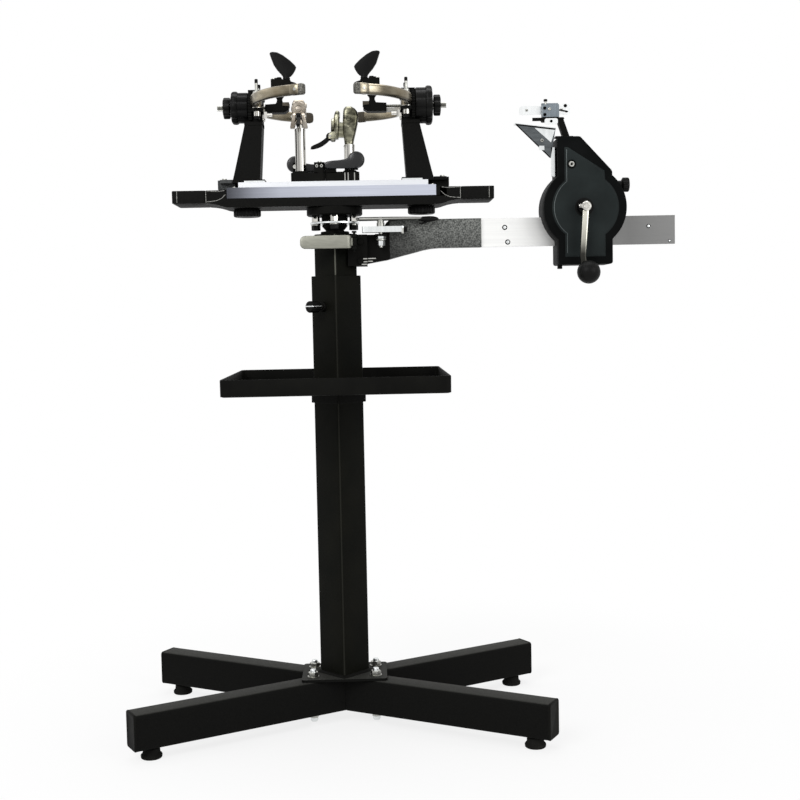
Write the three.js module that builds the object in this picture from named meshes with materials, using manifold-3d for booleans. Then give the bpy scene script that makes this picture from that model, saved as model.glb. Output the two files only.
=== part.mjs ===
// Racket stringing machine on a floor stand, in millimetres with +Z up.
// +X runs from the stand to the tension head, and the operator stands on the -Y side.
// Every size is taken from the column's centre line at floor level, and the last lines
// move the whole machine so that the origin is under the middle of its box.
import * as THREE from "three";
import { mergeVertices } from "three/addons/utils/BufferGeometryUtils.js";
import Module from "manifold-3d";

const wasm = await Module();
wasm.setup();

// Clearances and facets
const GAP = 0.3;
const OVERRUN = 5;
const VERTEX_MERGE = 0.001;
const ROUND_SIDES = 28;
const PIN_SIDES = 12;
const KNOB_SIDES = 24;
const BOSS_SIDES = 20;
const HEX_SIDES = 6;
const BALL_RINGS = 12;
const LOBE_STEPS = 4;
const CORNER_SIDES = 3;

// Floor stand
const LEG_TURN_DEG = 29;
const LEG_WIDTH = 45;
const LEG_HEIGHT = 67;
const LEG_WALL = 3;
const LEG_REACH = 435;
const FOOT_INSET = 38;
const FOOT_HEIGHT = 21.5;
const FOOT_RADIUS = 19;
const FOOT_RIM = 7;
const FOOT_NECK_RADIUS = 12.5;
const FOOT_NECK_HEIGHT = 15;
const FOOT_STEM_RADIUS = 5;
const FOOT_STEM_LENGTH = 16;
const BASE_WIDTH = 164;
const BASE_DEPTH = 115;
const BASE_THICKNESS = 5;
const BASE_CORNER = 5;
const BOLT_REACH = 69;
const BOLT_RADIUS = 5;
const BOLT_TIP = 16;
const BOLT_TOP = 11;
const NUT_RADIUS = 9;
const NUT_HEIGHT = 7;

// Column, mast and height lock
const COLUMN_TURN_DEG = 45;
const COLUMN_WIDTH = 70;
const COLUMN_CORNER = 6;
const COLUMN_HEIGHT = 770;
const MAST_WIDTH = 60;
const MAST_CORNER = 6;
const MAST_WALL = 3;
const MAST_INSERTION = 259.5;
const MAST_RISE = 79.5;
const LOCK_DROP = 58.5;
const LOCK_STEM_RADIUS = 5;
const LOCK_STEM_REACH = 52;
const LOCK_HEAD_RADIUS = 10.5;
const LOCK_HEAD_LENGTH = 20;

// Tool tray
const TRAY_WIDTH = 410;
const TRAY_DEPTH = 400;
const TRAY_CORNER = 9;
const TRAY_SHEET = 2;
const TRAY_DROP = 185.5;
const TRAY_HEIGHT = 31;
const COLLAR_WIDTH = 76;
const COLLAR_CORNER = 5;
const COLLAR_HEIGHT = 26;

// Bearing head and turntable hub
const CAP_RADIUS = 27;
const CAP_THICKNESS = 4;
const CAP_NECK_RADIUS = 18;
const CAP_NECK_HEIGHT = 2;
const CONE_RADIUS = 24;
const SPINDLE_RADIUS = 12;
const SPINDLE_RISE = 11;
const DISC_RADIUS = 47;
const DISC_LIFT = 18;
const DISC_THICKNESS = 4;
const SPACER_RADIUS = 4.5;
const SPACER_REACH = 36;
const SPACER_COUNT = 4;
const HUB_NECK_RADIUS = 25;
const FLANGE_RADIUS = 53;
const SPACER_HEIGHT = 12;

// Turntable base with end trays, and bed
const FLANGE_HEIGHT = 16;
const FRAME_HALF_DEPTH = 50;
const FRAME_MARGIN = 3;
const WING_LENGTH = 106;
const WING_LEVEL_LENGTH = 51;
const WING_RISE = 8.5;
const WING_HEIGHT = 23.5;
const WING_MARGIN = 5;
const TRAY_POCKET_LENGTH = 61;
const POCKET_WALL = 3;
const BED_RISE = 16.5;
const BED_HALF_DEPTH = 50;
const BED_THICKNESS = 20;
const RAIL_INSET = 17;
const RAIL_HALF_DEPTH = 38;
const RAIL_THICKNESS = 10.5;
const CHANNEL_HALF_DEPTH = 12;

// Mounting towers, sizes for the one on the right
const TOWER_INSET = 29;
const TOWER_TRAVEL_IN = 25;
const TOWER_TRAVEL_OUT = 15;
const TOWER_HALF_DEPTH = 25;
const TOWER_ROOT_INNER = 28;
const TOWER_ROOT_OUTER = 25;
const TOWER_CREST_INNER = 34.5;
const TOWER_CREST_OUTER = 1;
const TOWER_RISE = 107;
const TOWER_FOOT_LENGTH = 36;
const TOWER_FOOT_THICKNESS = 4.5;
const TOWER_TONGUE_LENGTH = 53;
const TOWER_TONGUE_RISE = 7;
const TOWER_BORE_RISE = 22;
const TABLE_KNOB_RADIUS = 26;
const TABLE_KNOB_HEIGHT = 14.7;
const TABLE_KNOB_GROOVE = 1.2;
const TABLE_KNOB_RIBS = 16;
const TABLE_KNOB_STEM_RADIUS = 5;

// Tower heads
const HEAD_AXIS_RISE = 36;
const HEAD_CORE_INNER = 35;
const HEAD_HALF_DEPTH = 17;
const HEAD_CORE_RISE = 31;
const HEAD_SADDLE_HEIGHT = 6;
const HEAD_POCKET_DEPTH = 7;
const COLLAR_DISC_THICKNESS = 7;
const HEAD_CORE_LENGTH = 26;
const COLLAR_DISC_RADIUS = 32;
const DRUM_BODY_RADIUS = 29;
const DRUM_GROOVE = 2.5;
const DRUM_RIBS = 12;
const DRUM_LOBE_RADIUS = 37;
const DRUM_LOBES = 6;
const DRUM_LOBE_DEPTH = 3;
const DRUM_BODY_LENGTH = 21;
const DRUM_RIM_LENGTH = 12;
const DRUM_BORE_RADIUS = 13.5;
const EAR_HALF_DEPTH = 36;
const EAR_THICKNESS = 6;
const EAR_OVERHANG = 2;
const ARM_PIVOT_INSET = 9;
const ARM_PIVOT_Y = 29;
const ARM_PIN_RADIUS = 4;
const ARM_HEIGHT = 20;
const ARM_THICKNESS = 13;
const ARM_MIDDLE_RISE = 5;
const ARM_STEPS = 10;
const ARM_TIP_Y = 166;
const ARM_BOSS_SHARE = 0.7;
const ARM_TAPER_SHARE = 0.15;
const ARM_ROUTE_SHARES = [
  [1, 0],
  [1.02, 0.22],
  [0.93, 0.5],
  [0.7, 0.8],
  [0.36, 1],
];
const SIGHT_PIN_RADIUS = 2.5;
const SIGHT_PIN_RISE = 48.5;
const SCREW_RADIUS = 3;
const SCREW_OVERHANG = 37;
const STAR_RADIUS = 20;
const STAR_LOBES = 8;
const STAR_LOBE_DEPTH = 2;
const STAR_SPACE = 2.5;
const STAR_THICKNESS = 11.5;
const SCREW_STUB = 13;

// Centre supports and hold-down jaws, along the machine from the leaf knob's axis
const LEAF_SPACE_LEFT = 23;
const LEAF_SPACE_RIGHT = 31;
const SUPPORT_SPACE = 46;
const SUPPORT_INNER = 3;
const SUPPORT_OUTER = 41;
const SUPPORT_DROP = 11;
const SUPPORT_RISE = 7;
const SUPPORT_NOSE = 5;
const SUPPORT_HALF_DEPTH = 12;
const POST_OFFSET = 14;
const POST_FLARE_RADIUS = 8;
const POST_WAIST_RADIUS = 5;
const POST_SEAT_RISE = 14;
const POST_SEAT_RADIUS = 9;
const POST_RADIUS = 5;
const POST_PIN_LENGTH = 35.5;
const GUIDE_HALF_DEPTH = 6;
const GUIDE_THICKNESS = 7;
const GUIDE_END = 84;
const GUIDE_START = 22;
const JAW_INNER = 19;
const JAW_OUTER = 29;
const JAW_LIFT = 10.5;
const JAW_HEIGHT = 20;
const JAW_NOSE = 9;
const JAW_SLOPE = 5;
const JAW_HALF_DEPTH = 13;
const LEAF_STEM_RADIUS = 4.5;
const LEAF_TIP_LIFT = 2;
const LEAF_FOOT_RADIUS = 9;
const LEAF_FOOT_HEIGHT = 9;
const LEAF_HEIGHT = 50;
const LEAF_THICKNESS = 9;
const LEAF_SHAPE_SHARES = [
  [-0.12, 0],
  [-0.3, 0.22],
  [-0.38, 0.42],
  [-0.22, 0.68],
  [0.05, 0.9],
  [0.35, 1],
  [0.52, 0.97],
  [0.4, 0.6],
  [0.28, 0.3],
  [0.14, 0],
];

// String clamps, along the machine from the post's axis
const CLAMP_POST_LEFT = -62;
const CLAMP_BASE_SPACE = 1;
const CLAMP_BASE_NEAR = 18;
const CLAMP_BASE_FAR = 46;
const CLAMP_BASE_HALF_DEPTH = 23;
const CLAMP_BASE_HEIGHT = 22.5;
const CLAMP_BASE_STEP = 8;
const CLAMP_BASE_STEP_WIDTH = 20;
const CLAMP_POST_RADIUS = 9.5;
const CLAMP_NECK_RADIUS = 6;
const CLAMP_LEFT_RISE = 103;
const CLAMP_LEFT_NECK = 20;
const CLAMP_LEFT_HEAD_HEIGHT = 33;
const CLAMP_RIGHT_RISE = 72;
const CLAMP_RIGHT_NECK = 8;
const CLAMP_RIGHT_HEAD_HEIGHT = 65;
const CLAMP_HEAD_NEAR = 13;
const CLAMP_HEAD_FAR = 12;
const CLAMP_HEAD_HALF_DEPTH = 13;
const CLAMP_JAW_SPACE = 7;
const CLAMP_JAW_THICKNESS = 9;
const CLAMP_JAW_PIN_RADIUS = 3;
const CLAMP_JAW_PIN_LENGTH = 10;
const CLAMP_DISC_RADIUS = 12.5;
const CLAMP_DISC_THICKNESS = 6;
const CLAMP_LEVER_EYE = 7;
const CLAMP_LEVER_BORE = 2.5;
const CLAMP_LEVER_LENGTH = 40;
const CLAMP_LEVER_THICKNESS = 8;
const CLAMP_LEVER_TIP = 3.5;
const CLAMP_LEVER_DROP_DEG = 27;
const BASE_LEVER_DISC_RADIUS = 15;
const BASE_LEVER_DISC_X = 12;
const BASE_LEVER_DISC_Z = 41;
const BASE_LEVER_THICKNESS = 11;
const BASE_LEVER_LENGTH = 55;
const BASE_LEVER_BLADE = 6;
const BASE_LEVER_DROP_DEG = 8;
const BASE_LEVER_PIN_RADIUS = 4;
const BASE_LEVER_EAR = 8;

// Tension arm, brake and levers
const ARM_HALF_THICKNESS = 13;
const ARM_START = 34;
const ARM_END = 279;
const ARM_RISE = 24.5;
const ARM_DEPTH = 54.5;
const ARM_NECK_DROP = 27.5;
const ARM_NECK_REACH = 92;
const ARM_SHOULDER_REACH = 112;
const ARM_LEVEL_LENGTH = 95;
const ARM_BELLY_REACH = 131;
const ARM_BELLY_DROP = 13;
const ARM_HEEL_REACH = 100;
const ARM_HEEL_DROP = 21;
const ARM_ROOT_DROP = 32;
const ARM_TONGUE_LENGTH = 66;
const ARM_TONGUE_THICKNESS = 7.7;
const BRACKET_START = 24;
const BRACKET_END = 74;
const BRACKET_HALF_DEPTH = 25;
const LUG_THICKNESS = 6;
const PADDLE_PIVOT_X = 37;
const PADDLE_PIVOT_Y = -50;
const PADDLE_PIN_RADIUS = 2.5;
const PADDLE_BARREL_RADIUS = 5;
const PADDLE_BARREL_HEIGHT = 16;
const PADDLE_LEFT = -64;
const PADDLE_RIGHT = 31;
const PADDLE_DROP = 0.5;
const PADDLE_HEIGHT = 25;
const PADDLE_FRONT = -60;
const PADDLE_SHEET = 3;
const PADDLE_CORNER = 8;
const BRAKE_PIVOT_X = 87;
const BRAKE_PIVOT_Y = -26;
const BRAKE_PIN_RADIUS = 4;
const BRAKE_PLATE_LEFT = 52;
const BRAKE_PLATE_RIGHT = 131;
const BRAKE_PLATE_LIFT = 3;
const BRAKE_PLATE_THICKNESS = 11;
const BRAKE_PLATE_HALF_DEPTH = 11;
const BRAKE_NUT_RADIUS = 7.5;
const BRAKE_NUT_HEIGHT = 8;
const BRAKE_NUT_DROP = 23;
const BRAKE_ROD_RISE = 22;
const BRAKE_ROD_HEIGHT = 7;
const BRAKE_ROD_HALF_DEPTH = 3;
const BRAKE_ROD_END = 166;
const BRAKE_GRIP_END = 197;
const BRAKE_GRIP_HEIGHT = 14;
const BRAKE_GRIP_HALF_DEPTH = 6;

// Tension head and its rail
const RAIL_LENGTH = 372.7;
const RAIL_HALF_THICKNESS = 5;
const HEAD_OFFSET = 192;
const HEAD_HALF_WIDTH = 51;
const HEAD_ROUND_RADIUS = 78;
const HEAD_AXLE_RISE = 13.5;
const HEAD_DROP = 106;
const HEAD_SHOULDER_RISE = 68;
const HEAD_TOP_RISE = 132;
const HEAD_TOP_WIDTH = 40;
const HEAD_FRONT = -59;
const HEAD_SPLIT = -36;
const HEAD_BACK = 20;
const HEAD_WALL = 4;
const HEAD_ROUND_STEPS = 12;
const PANEL_RAISE = 2.5;
const PANEL_MARGIN = 15;
const PANEL_RADIUS = 62;
const CRANK_INSET = 3;
const CRANK_SHAFT_RADIUS = 7;
const CRANK_HUB_RADIUS = 14;
const CRANK_HUB_FRONT = -76;
const CRANK_ARM_THICKNESS = 7;
const CRANK_ARM_ROOT = 8;
const CRANK_ARM_TIP = 6.5;
const CRANK_ARM_LENGTH = 122;
const CRANK_PIN_RADIUS = 4;
const CRANK_PIN_LENGTH = 20;
const BALL_RADIUS = 21.5;
const BALL_DISTANCE = 20;
const SETTING_RISE = 44;
const SETTING_Y = -22;
const SETTING_STEM_RADIUS = 4;
const SETTING_HEAD_RADIUS = 13;
const SETTING_HEAD_START = 76;
const SETTING_HEAD_LENGTH = 13;
const GRIP_Y = -30;
const STAND_FOOT_X = -36;
const STAND_TOP_X = -48;
const STAND_RISE = 34;
const STAND_WIDTH = 11;
const STAND_HALF_DEPTH = 8;
const STAND_PLATE_LEFT = -78;
const STAND_PLATE_THICKNESS = 4;
const GRIPPER_LEFT = -76;
const GRIPPER_RIGHT = -45;
const GRIPPER_RISE = 32;
const GRIPPER_WING_LEFT = -118;
const GRIPPER_WING_RIGHT = -30;
const GRIPPER_WING_DROP = 20;
const GRIPPER_PLATE = 8;
const GRIPPER_SPACE = 5;
const RAMP_LEFT = -128;
const RAMP_LEFT_RISE = 27;
const RAMP_RIGHT = -52;
const RAMP_RIGHT_RISE = 17;
const RAMP_FOOT_X = -62;
const RAMP_FOOT_DROP = 38;
const RAMP_SHEET = 3;
const RAMP_STRIP_WIDTH = 10;
const RAMP_STRIP_DROP = 72;

// Sizes that follow from the ones above
const legTurn = THREE.MathUtils.degToRad(LEG_TURN_DEG);
const columnTurn = THREE.MathUtils.degToRad(COLUMN_TURN_DEG);
const legTop = FOOT_HEIGHT + LEG_HEIGHT;
const baseTop = legTop + BASE_THICKNESS;
const footReach = LEG_REACH - FOOT_INSET;
const columnTop = baseTop + COLUMN_HEIGHT;
const mastBottom = columnTop - MAST_INSERTION;
const mastTop = columnTop + MAST_RISE;
const lockHeight = columnTop - LOCK_DROP;
const trayTop = columnTop - TRAY_DROP;
const trayBottom = trayTop - TRAY_HEIGHT;
const collarBottom = trayBottom - COLLAR_HEIGHT;
const discBottom = mastTop + DISC_LIFT;
const flangeBottom = discBottom + DISC_THICKNESS + SPACER_HEIGHT;
const frameBottom = flangeBottom + FLANGE_HEIGHT;
const spindleTop = frameBottom + SPINDLE_RISE;
const wingBottom = frameBottom + WING_RISE;
const wingTop = wingBottom + WING_HEIGHT;
const bedBottom = frameBottom + BED_RISE;
const clampPostRight = CLAMP_POST_LEFT + 2 * CLAMP_BASE_FAR + CLAMP_BASE_SPACE;
const leafReachLeft = LEAF_SPACE_LEFT - CLAMP_POST_LEFT;
const leafReachRight = LEAF_SPACE_RIGHT + clampPostRight;
const headInner = leafReachLeft + SUPPORT_SPACE;
const towerReach = headInner + HEAD_CORE_INNER;
const bedHalfLength = towerReach + TOWER_INSET;
const frameMiddleReach = bedHalfLength + FRAME_MARGIN;
const frameReach = bedHalfLength + WING_LENGTH;
const wingCurveReach = frameReach - WING_LEVEL_LENGTH;
const wingInnerReach = bedHalfLength + WING_MARGIN;
const trayPocketReach = frameReach - TRAY_POCKET_LENGTH;
const railHalfLength = bedHalfLength - RAIL_INSET;
const columnBore = MAST_WIDTH + 2 * GAP;
const columnBoreCorner = MAST_CORNER + GAP;
const collarBore = COLUMN_WIDTH + 2 * GAP;
const collarBoreCorner = COLUMN_CORNER + GAP;
const bedTop = bedBottom + BED_THICKNESS;
const railTop = bedTop + RAIL_THICKNESS;
const seatTop = railTop + GAP;
const towerInnerBottom = towerReach - TOWER_ROOT_INNER;
const towerOuterBottom = towerReach + TOWER_ROOT_OUTER;
const towerInnerTop = towerReach - TOWER_CREST_INNER;
const towerOuterTop = towerReach - TOWER_CREST_OUTER;
const towerTop = railTop + TOWER_RISE;
const towerFootInner = towerReach - TOWER_FOOT_LENGTH;
const towerTongueOuter = towerReach + TOWER_TONGUE_LENGTH;
const towerTongueTop = railTop + TOWER_TONGUE_RISE;
const towerBoreTop = railTop + TOWER_BORE_RISE;
const headAxisZ = towerTop + HEAD_AXIS_RISE;
const headCoreTop = headAxisZ + HEAD_CORE_RISE;
const headSaddleTop = towerTop + HEAD_SADDLE_HEIGHT;
const headPocketEnd = headInner + HEAD_POCKET_DEPTH;
const collarDiscOuter = headInner + HEAD_CORE_LENGTH;
const collarDiscInner = collarDiscOuter - COLLAR_DISC_THICKNESS;
const drumStep = collarDiscOuter + DRUM_BODY_LENGTH;
const drumOuter = drumStep + DRUM_RIM_LENGTH;
const earInner = headInner - EAR_OVERHANG;
const armPivotX = headInner + ARM_PIVOT_INSET;
const armMiddleZ = headAxisZ + ARM_MIDDLE_RISE;
const sightPinTop = headAxisZ + SIGHT_PIN_RISE;
const screwTip = headInner - SCREW_OVERHANG;
const starInner = drumOuter + STAR_SPACE;
const starOuter = starInner + STAR_THICKNESS;
const screwEnd = starOuter + SCREW_STUB;
const supportBottom = headAxisZ - SUPPORT_DROP;
const supportTop = headAxisZ + SUPPORT_RISE;
const postSeatZ = supportTop + POST_SEAT_RISE;
const postTop = postSeatZ + POST_PIN_LENGTH;
const jawBottom = postSeatZ + JAW_LIFT;
const jawTop = jawBottom + JAW_HEIGHT;
const leafTipZ = postSeatZ + LEAF_TIP_LIFT;
const clampLeftShoulder = railTop + CLAMP_LEFT_RISE;
const clampLeftHeadBottom = clampLeftShoulder + CLAMP_LEFT_NECK;
const clampLeftHeadTop = clampLeftHeadBottom + CLAMP_LEFT_HEAD_HEIGHT;
const clampRightShoulder = railTop + CLAMP_RIGHT_RISE;
const clampRightHeadBottom = clampRightShoulder + CLAMP_RIGHT_NECK;
const clampRightHeadTop = clampRightHeadBottom + CLAMP_RIGHT_HEAD_HEIGHT;
const tensionArmTop = mastTop + ARM_RISE;
const tensionArmBottom = tensionArmTop - ARM_DEPTH;
const armNeckTop = tensionArmTop - ARM_NECK_DROP;
const armBellyBottom = tensionArmBottom - ARM_BELLY_DROP;
const armHeelBottom = tensionArmBottom - ARM_HEEL_DROP;
const armRootBottom = tensionArmBottom - ARM_ROOT_DROP;
const armTongueEnd = ARM_END + ARM_TONGUE_LENGTH;
const armKneeReach = ARM_END - ARM_LEVEL_LENGTH;
const paddleBottom = tensionArmBottom - PADDLE_DROP;
const brakePlateBottom = armNeckTop + BRAKE_PLATE_LIFT;
const brakeNutBottom = armNeckTop - BRAKE_NUT_DROP;
const brakeRodBottom = brakePlateBottom + BRAKE_ROD_RISE;
const railStart = ARM_END + GAP;
const railEnd = railStart + RAIL_LENGTH;
const headX = ARM_END + HEAD_OFFSET;
const headRoundZ = tensionArmTop + HEAD_AXLE_RISE;
const headBaseZ = headRoundZ - HEAD_DROP;
const headShoulder = headRoundZ + HEAD_SHOULDER_RISE;
const headTopZ = headRoundZ + HEAD_TOP_RISE;
const settingZ = headRoundZ + SETTING_RISE;
const crankX = headX - CRANK_INSET;
const standTopZ = headTopZ + STAND_RISE;
const gripperTop = standTopZ + GRIPPER_RISE;
const rampLeftZ = headTopZ + RAMP_LEFT_RISE;
const rampRightZ = headTopZ + RAMP_RIGHT_RISE;
const rampFootZ = headTopZ - RAMP_FOOT_DROP;
const rampStripBottom = headTopZ - RAMP_STRIP_DROP;
const tongueHalfDepth = CHANNEL_HALF_DEPTH - GAP;
const slotInner = towerReach - TOWER_TRAVEL_IN;
const slotOuter = towerReach + TOWER_TRAVEL_OUT;
const tableKnobTop = frameBottom - GAP;
const armBottom = armMiddleZ - ARM_HEIGHT / 2;
const armTop = armMiddleZ + ARM_HEIGHT / 2;
const hubX = crankX - headX;
const ballZ = headRoundZ - CRANK_ARM_LENGTH;
const pinionRadius = headRoundZ - tensionArmTop - GAP;
const crankArmFront = CRANK_HUB_FRONT - CRANK_ARM_THICKNESS;
const baseEarFace = CLAMP_POST_RADIUS + OVERRUN;
const baseLeverPinLength = CLAMP_BASE_HALF_DEPTH + BASE_LEVER_THICKNESS - baseEarFace;
const baseLeverZ = railTop + BASE_LEVER_DISC_Z - BASE_LEVER_DISC_RADIUS / 2;

// Solids from geometries and back
function toSolid(geometry) {
  const bare = new THREE.BufferGeometry();
  bare.setAttribute("position", geometry.getAttribute("position"));
  bare.setIndex(geometry.index);
  const merged = mergeVertices(bare, VERTEX_MERGE);
  return new wasm.Manifold(
    new wasm.Mesh({
      numProp: 3,
      vertProperties: merged.attributes.position.array,
      triVerts: new Uint32Array(merged.index.array),
    }),
  );
}

function toGeometry(solid) {
  const mesh = solid.getMesh();
  const geometry = new THREE.BufferGeometry();
  geometry.setAttribute("position", new THREE.BufferAttribute(mesh.vertProperties, 3));
  geometry.setIndex(new THREE.BufferAttribute(mesh.triVerts, 1));
  return geometry;
}

function join(first, ...others) {
  return toGeometry(others.reduce((whole, next) => whole.add(toSolid(next)), toSolid(first)));
}

function cut(first, ...tools) {
  return toGeometry(tools.reduce((whole, tool) => whole.subtract(toSolid(tool)), toSolid(first)));
}

// Mirrors a piece of the right-hand tower for the left-hand one
function mirrored(geometry, side) {
  if (side > 0) {
    return geometry;
  }
  const copy = toGeometry(toSolid(geometry)).scale(side, 1, 1);
  const order = copy.index.array;
  for (let i = 0; i < order.length; i += 3) {
    [order[i], order[i + 1]] = [order[i + 1], order[i]];
  }
  return copy;
}

// Primitive shapes placed by their limits
function block(x0, x1, y0, y1, z0, z1) {
  const geometry = new THREE.BoxGeometry(x1 - x0, y1 - y0, z1 - z0);
  return geometry.translate((x0 + x1) / 2, (y0 + y1) / 2, (z0 + z1) / 2);
}

function rodZ(radius, z0, z1, sides = PIN_SIDES) {
  const geometry = new THREE.CylinderGeometry(radius, radius, z1 - z0, sides);
  return geometry.rotateX(Math.PI / 2).translate(0, 0, (z0 + z1) / 2);
}

function rodX(radius, x0, x1, sides = PIN_SIDES) {
  return rodZ(radius, x0, x1, sides).rotateY(Math.PI / 2);
}

function rodY(radius, y0, y1, sides = PIN_SIDES) {
  return rodZ(radius, -y1, -y0, sides).rotateX(Math.PI / 2);
}

function prismZ(shape, z0, z1) {
  const options = { depth: z1 - z0, bevelEnabled: false, curveSegments: CORNER_SIDES };
  return new THREE.ExtrudeGeometry(shape, options).translate(0, 0, z0);
}

// Extrudes an outline drawn with x across and z up, from y0 back to y1
function prismY(shape, y0, y1) {
  return prismZ(shape, -y1, -y0).rotateX(Math.PI / 2);
}

// Extrudes an outline drawn across the machine, with y across and z up, from x0 to x1
function prismX(shape, x0, x1) {
  return prismZ(shape, x0, x1).rotateX(Math.PI / 2).rotateZ(Math.PI / 2);
}

function outline(points) {
  return new THREE.Shape(points.map(([x, y]) => new THREE.Vector2(x, y)));
}

function roundedRect(width, height, radius) {
  const x = width / 2 - radius;
  const y = height / 2 - radius;
  const shape = new THREE.Shape();
  shape.absarc(x, -y, radius, -Math.PI / 2, 0);
  shape.absarc(x, y, radius, 0, Math.PI / 2);
  shape.absarc(-x, y, radius, Math.PI / 2, Math.PI);
  shape.absarc(-x, -y, radius, Math.PI, 1.5 * Math.PI);
  return shape;
}

// Wavy round outline of a hand knob
function lobedRound(radius, depth, lobes) {
  const steps = lobes * LOBE_STEPS;
  const points = [];
  for (let i = 0; i < steps; i += 1) {
    const turn = (2 * Math.PI * i) / steps;
    const r = radius - (depth * (1 - Math.cos(lobes * turn))) / 2;
    points.push([r * Math.cos(turn), r * Math.sin(turn)]);
  }
  return outline(points);
}

// Turned piece about Z from radius and height pairs, lowest first
function turned(profile, sides = ROUND_SIDES) {
  const points = profile.map(([r, z]) => new THREE.Vector2(r, z));
  return toGeometry(toSolid(new THREE.LatheGeometry(points, sides).rotateX(Math.PI / 2)));
}

// A tapered flat bar that hangs from the origin along -Z, with round ends
function taperedBar(rootHalf, tipHalf, length, y0, y1) {
  const shape = new THREE.Shape();
  shape.absarc(0, 0, rootHalf, 0, Math.PI);
  shape.absarc(0, -length, tipHalf, Math.PI, 2 * Math.PI);
  return prismY(shape, y0, y1);
}

// Finishes
function finish(color, roughness, metalness) {
  return new THREE.MeshStandardMaterial({ color, roughness, metalness });
}

const blackPaint = finish(0x161614, 0.45, 0.1);
const blackPlastic = finish(0x121212, 0.5, 0);
const rubber = finish(0x101010, 0.9, 0);
const hammered = finish(0x2b2d2e, 0.5, 0.4);
const aluminium = finish(0xc9cad6, 0.35, 0.9);
const steel = finish(0xb9bcc0, 0.3, 0.9);
const chrome = finish(0xdadde0, 0.1, 1);
const gold = finish(0xb8a582, 0.35, 0.9);
const gloss = finish(0x0e0f11, 0.25, 0.1);

function addPart(group, name, geometry, material) {
  const mesh = new THREE.Mesh(geometry, material);
  mesh.name = name;
  group.add(mesh);
  return mesh;
}

// Legs: one beam right through, and two short legs that butt on its sides
function throughBeam() {
  const half = LEG_WIDTH / 2;
  const inner = half - LEG_WALL;
  const shell = block(-LEG_REACH, LEG_REACH, -half, half, FOOT_HEIGHT, legTop);
  const end = LEG_REACH - LEG_WALL;
  const hollow = block(-end, end, -inner, inner, FOOT_HEIGHT + LEG_WALL, legTop - LEG_WALL);
  return cut(shell, hollow, ...legHoles(1), ...legHoles(-1));
}

function legHoles(side) {
  const boltHole = rodZ(BOLT_RADIUS + GAP, FOOT_HEIGHT - OVERRUN, legTop + OVERRUN);
  const footHoleTop = FOOT_HEIGHT + LEG_WALL + OVERRUN;
  const footHole = rodZ(FOOT_STEM_RADIUS + GAP, FOOT_HEIGHT - OVERRUN, footHoleTop);
  return [boltHole.translate(side * BOLT_REACH, 0, 0), footHole.translate(side * footReach, 0, 0)];
}

function shortLeg() {
  const half = LEG_WIDTH / 2;
  const inner = half - LEG_WALL;
  const beamHalf = half + GAP;
  const beamBottom = FOOT_HEIGHT - OVERRUN;
  const beam = block(-LEG_REACH, LEG_REACH, -beamHalf, beamHalf, beamBottom, legTop + OVERRUN);
  const shell = block(0, LEG_REACH, -half, half, FOOT_HEIGHT, legTop);
  const end = LEG_REACH - LEG_WALL;
  const hollow = block(0, end, -inner, inner, FOOT_HEIGHT + LEG_WALL, legTop - LEG_WALL);
  return cut(shell, beam.rotateZ(2 * legTurn), hollow, ...legHoles(1));
}

function footPad() {
  const stemStart = FOOT_HEIGHT - GAP;
  return turned([
    [0, 0],
    [FOOT_RADIUS, 0],
    [FOOT_RADIUS, FOOT_RIM],
    [FOOT_NECK_RADIUS, FOOT_NECK_HEIGHT],
    [FOOT_NECK_RADIUS, stemStart],
    [FOOT_STEM_RADIUS, stemStart],
    [FOOT_STEM_RADIUS, FOOT_HEIGHT + FOOT_STEM_LENGTH],
    [0, FOOT_HEIGHT + FOOT_STEM_LENGTH],
  ], KNOB_SIDES);
}

// Base plate with its four bolts, which run down through the legs
function basePlate() {
  const plate = prismZ(roundedRect(BASE_WIDTH, BASE_DEPTH, BASE_CORNER), legTop, baseTop);
  const bolts = [];
  for (const turn of [legTurn, -legTurn, Math.PI - legTurn, Math.PI + legTurn]) {
    const place = (piece) => piece.translate(BOLT_REACH, 0, 0).rotateZ(turn);
    const lowNut = FOOT_HEIGHT - GAP - NUT_HEIGHT;
    bolts.push(place(rodZ(BOLT_RADIUS, FOOT_HEIGHT - BOLT_TIP, baseTop + BOLT_TOP)));
    bolts.push(place(rodZ(NUT_RADIUS, baseTop, baseTop + NUT_HEIGHT, HEX_SIDES)));
    bolts.push(place(rodZ(NUT_RADIUS, lowNut, lowNut + NUT_HEIGHT, HEX_SIDES)));
  }
  return join(plate, ...bolts);
}

// Column pieces are drawn square to X and turned with their group
function outerColumn() {
  const tube = prismZ(roundedRect(COLUMN_WIDTH, COLUMN_WIDTH, COLUMN_CORNER), baseTop, columnTop);
  const bore = roundedRect(columnBore, columnBore, columnBoreCorner);
  const hole = rodX(LOCK_STEM_RADIUS + GAP, -COLUMN_WIDTH, 0).translate(0, 0, lockHeight);
  return cut(tube, prismZ(bore, baseTop - OVERRUN, columnTop + OVERRUN), hole);
}

function innerColumn() {
  const tube = prismZ(roundedRect(MAST_WIDTH, MAST_WIDTH, MAST_CORNER), mastBottom, mastTop);
  const bore = MAST_WIDTH - 2 * MAST_WALL;
  const hollow = roundedRect(bore, bore, MAST_CORNER - MAST_WALL);
  return cut(tube, prismZ(hollow, mastBottom - OVERRUN, mastTop - MAST_WALL));
}

function heightLock() {
  const stem = rodX(LOCK_STEM_RADIUS, -LOCK_STEM_REACH - GAP, -MAST_WIDTH / 2 - GAP);
  const head = rodX(LOCK_HEAD_RADIUS, -LOCK_STEM_REACH - LOCK_HEAD_LENGTH, -LOCK_STEM_REACH, KNOB_SIDES);
  return join(stem, head);
}

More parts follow.
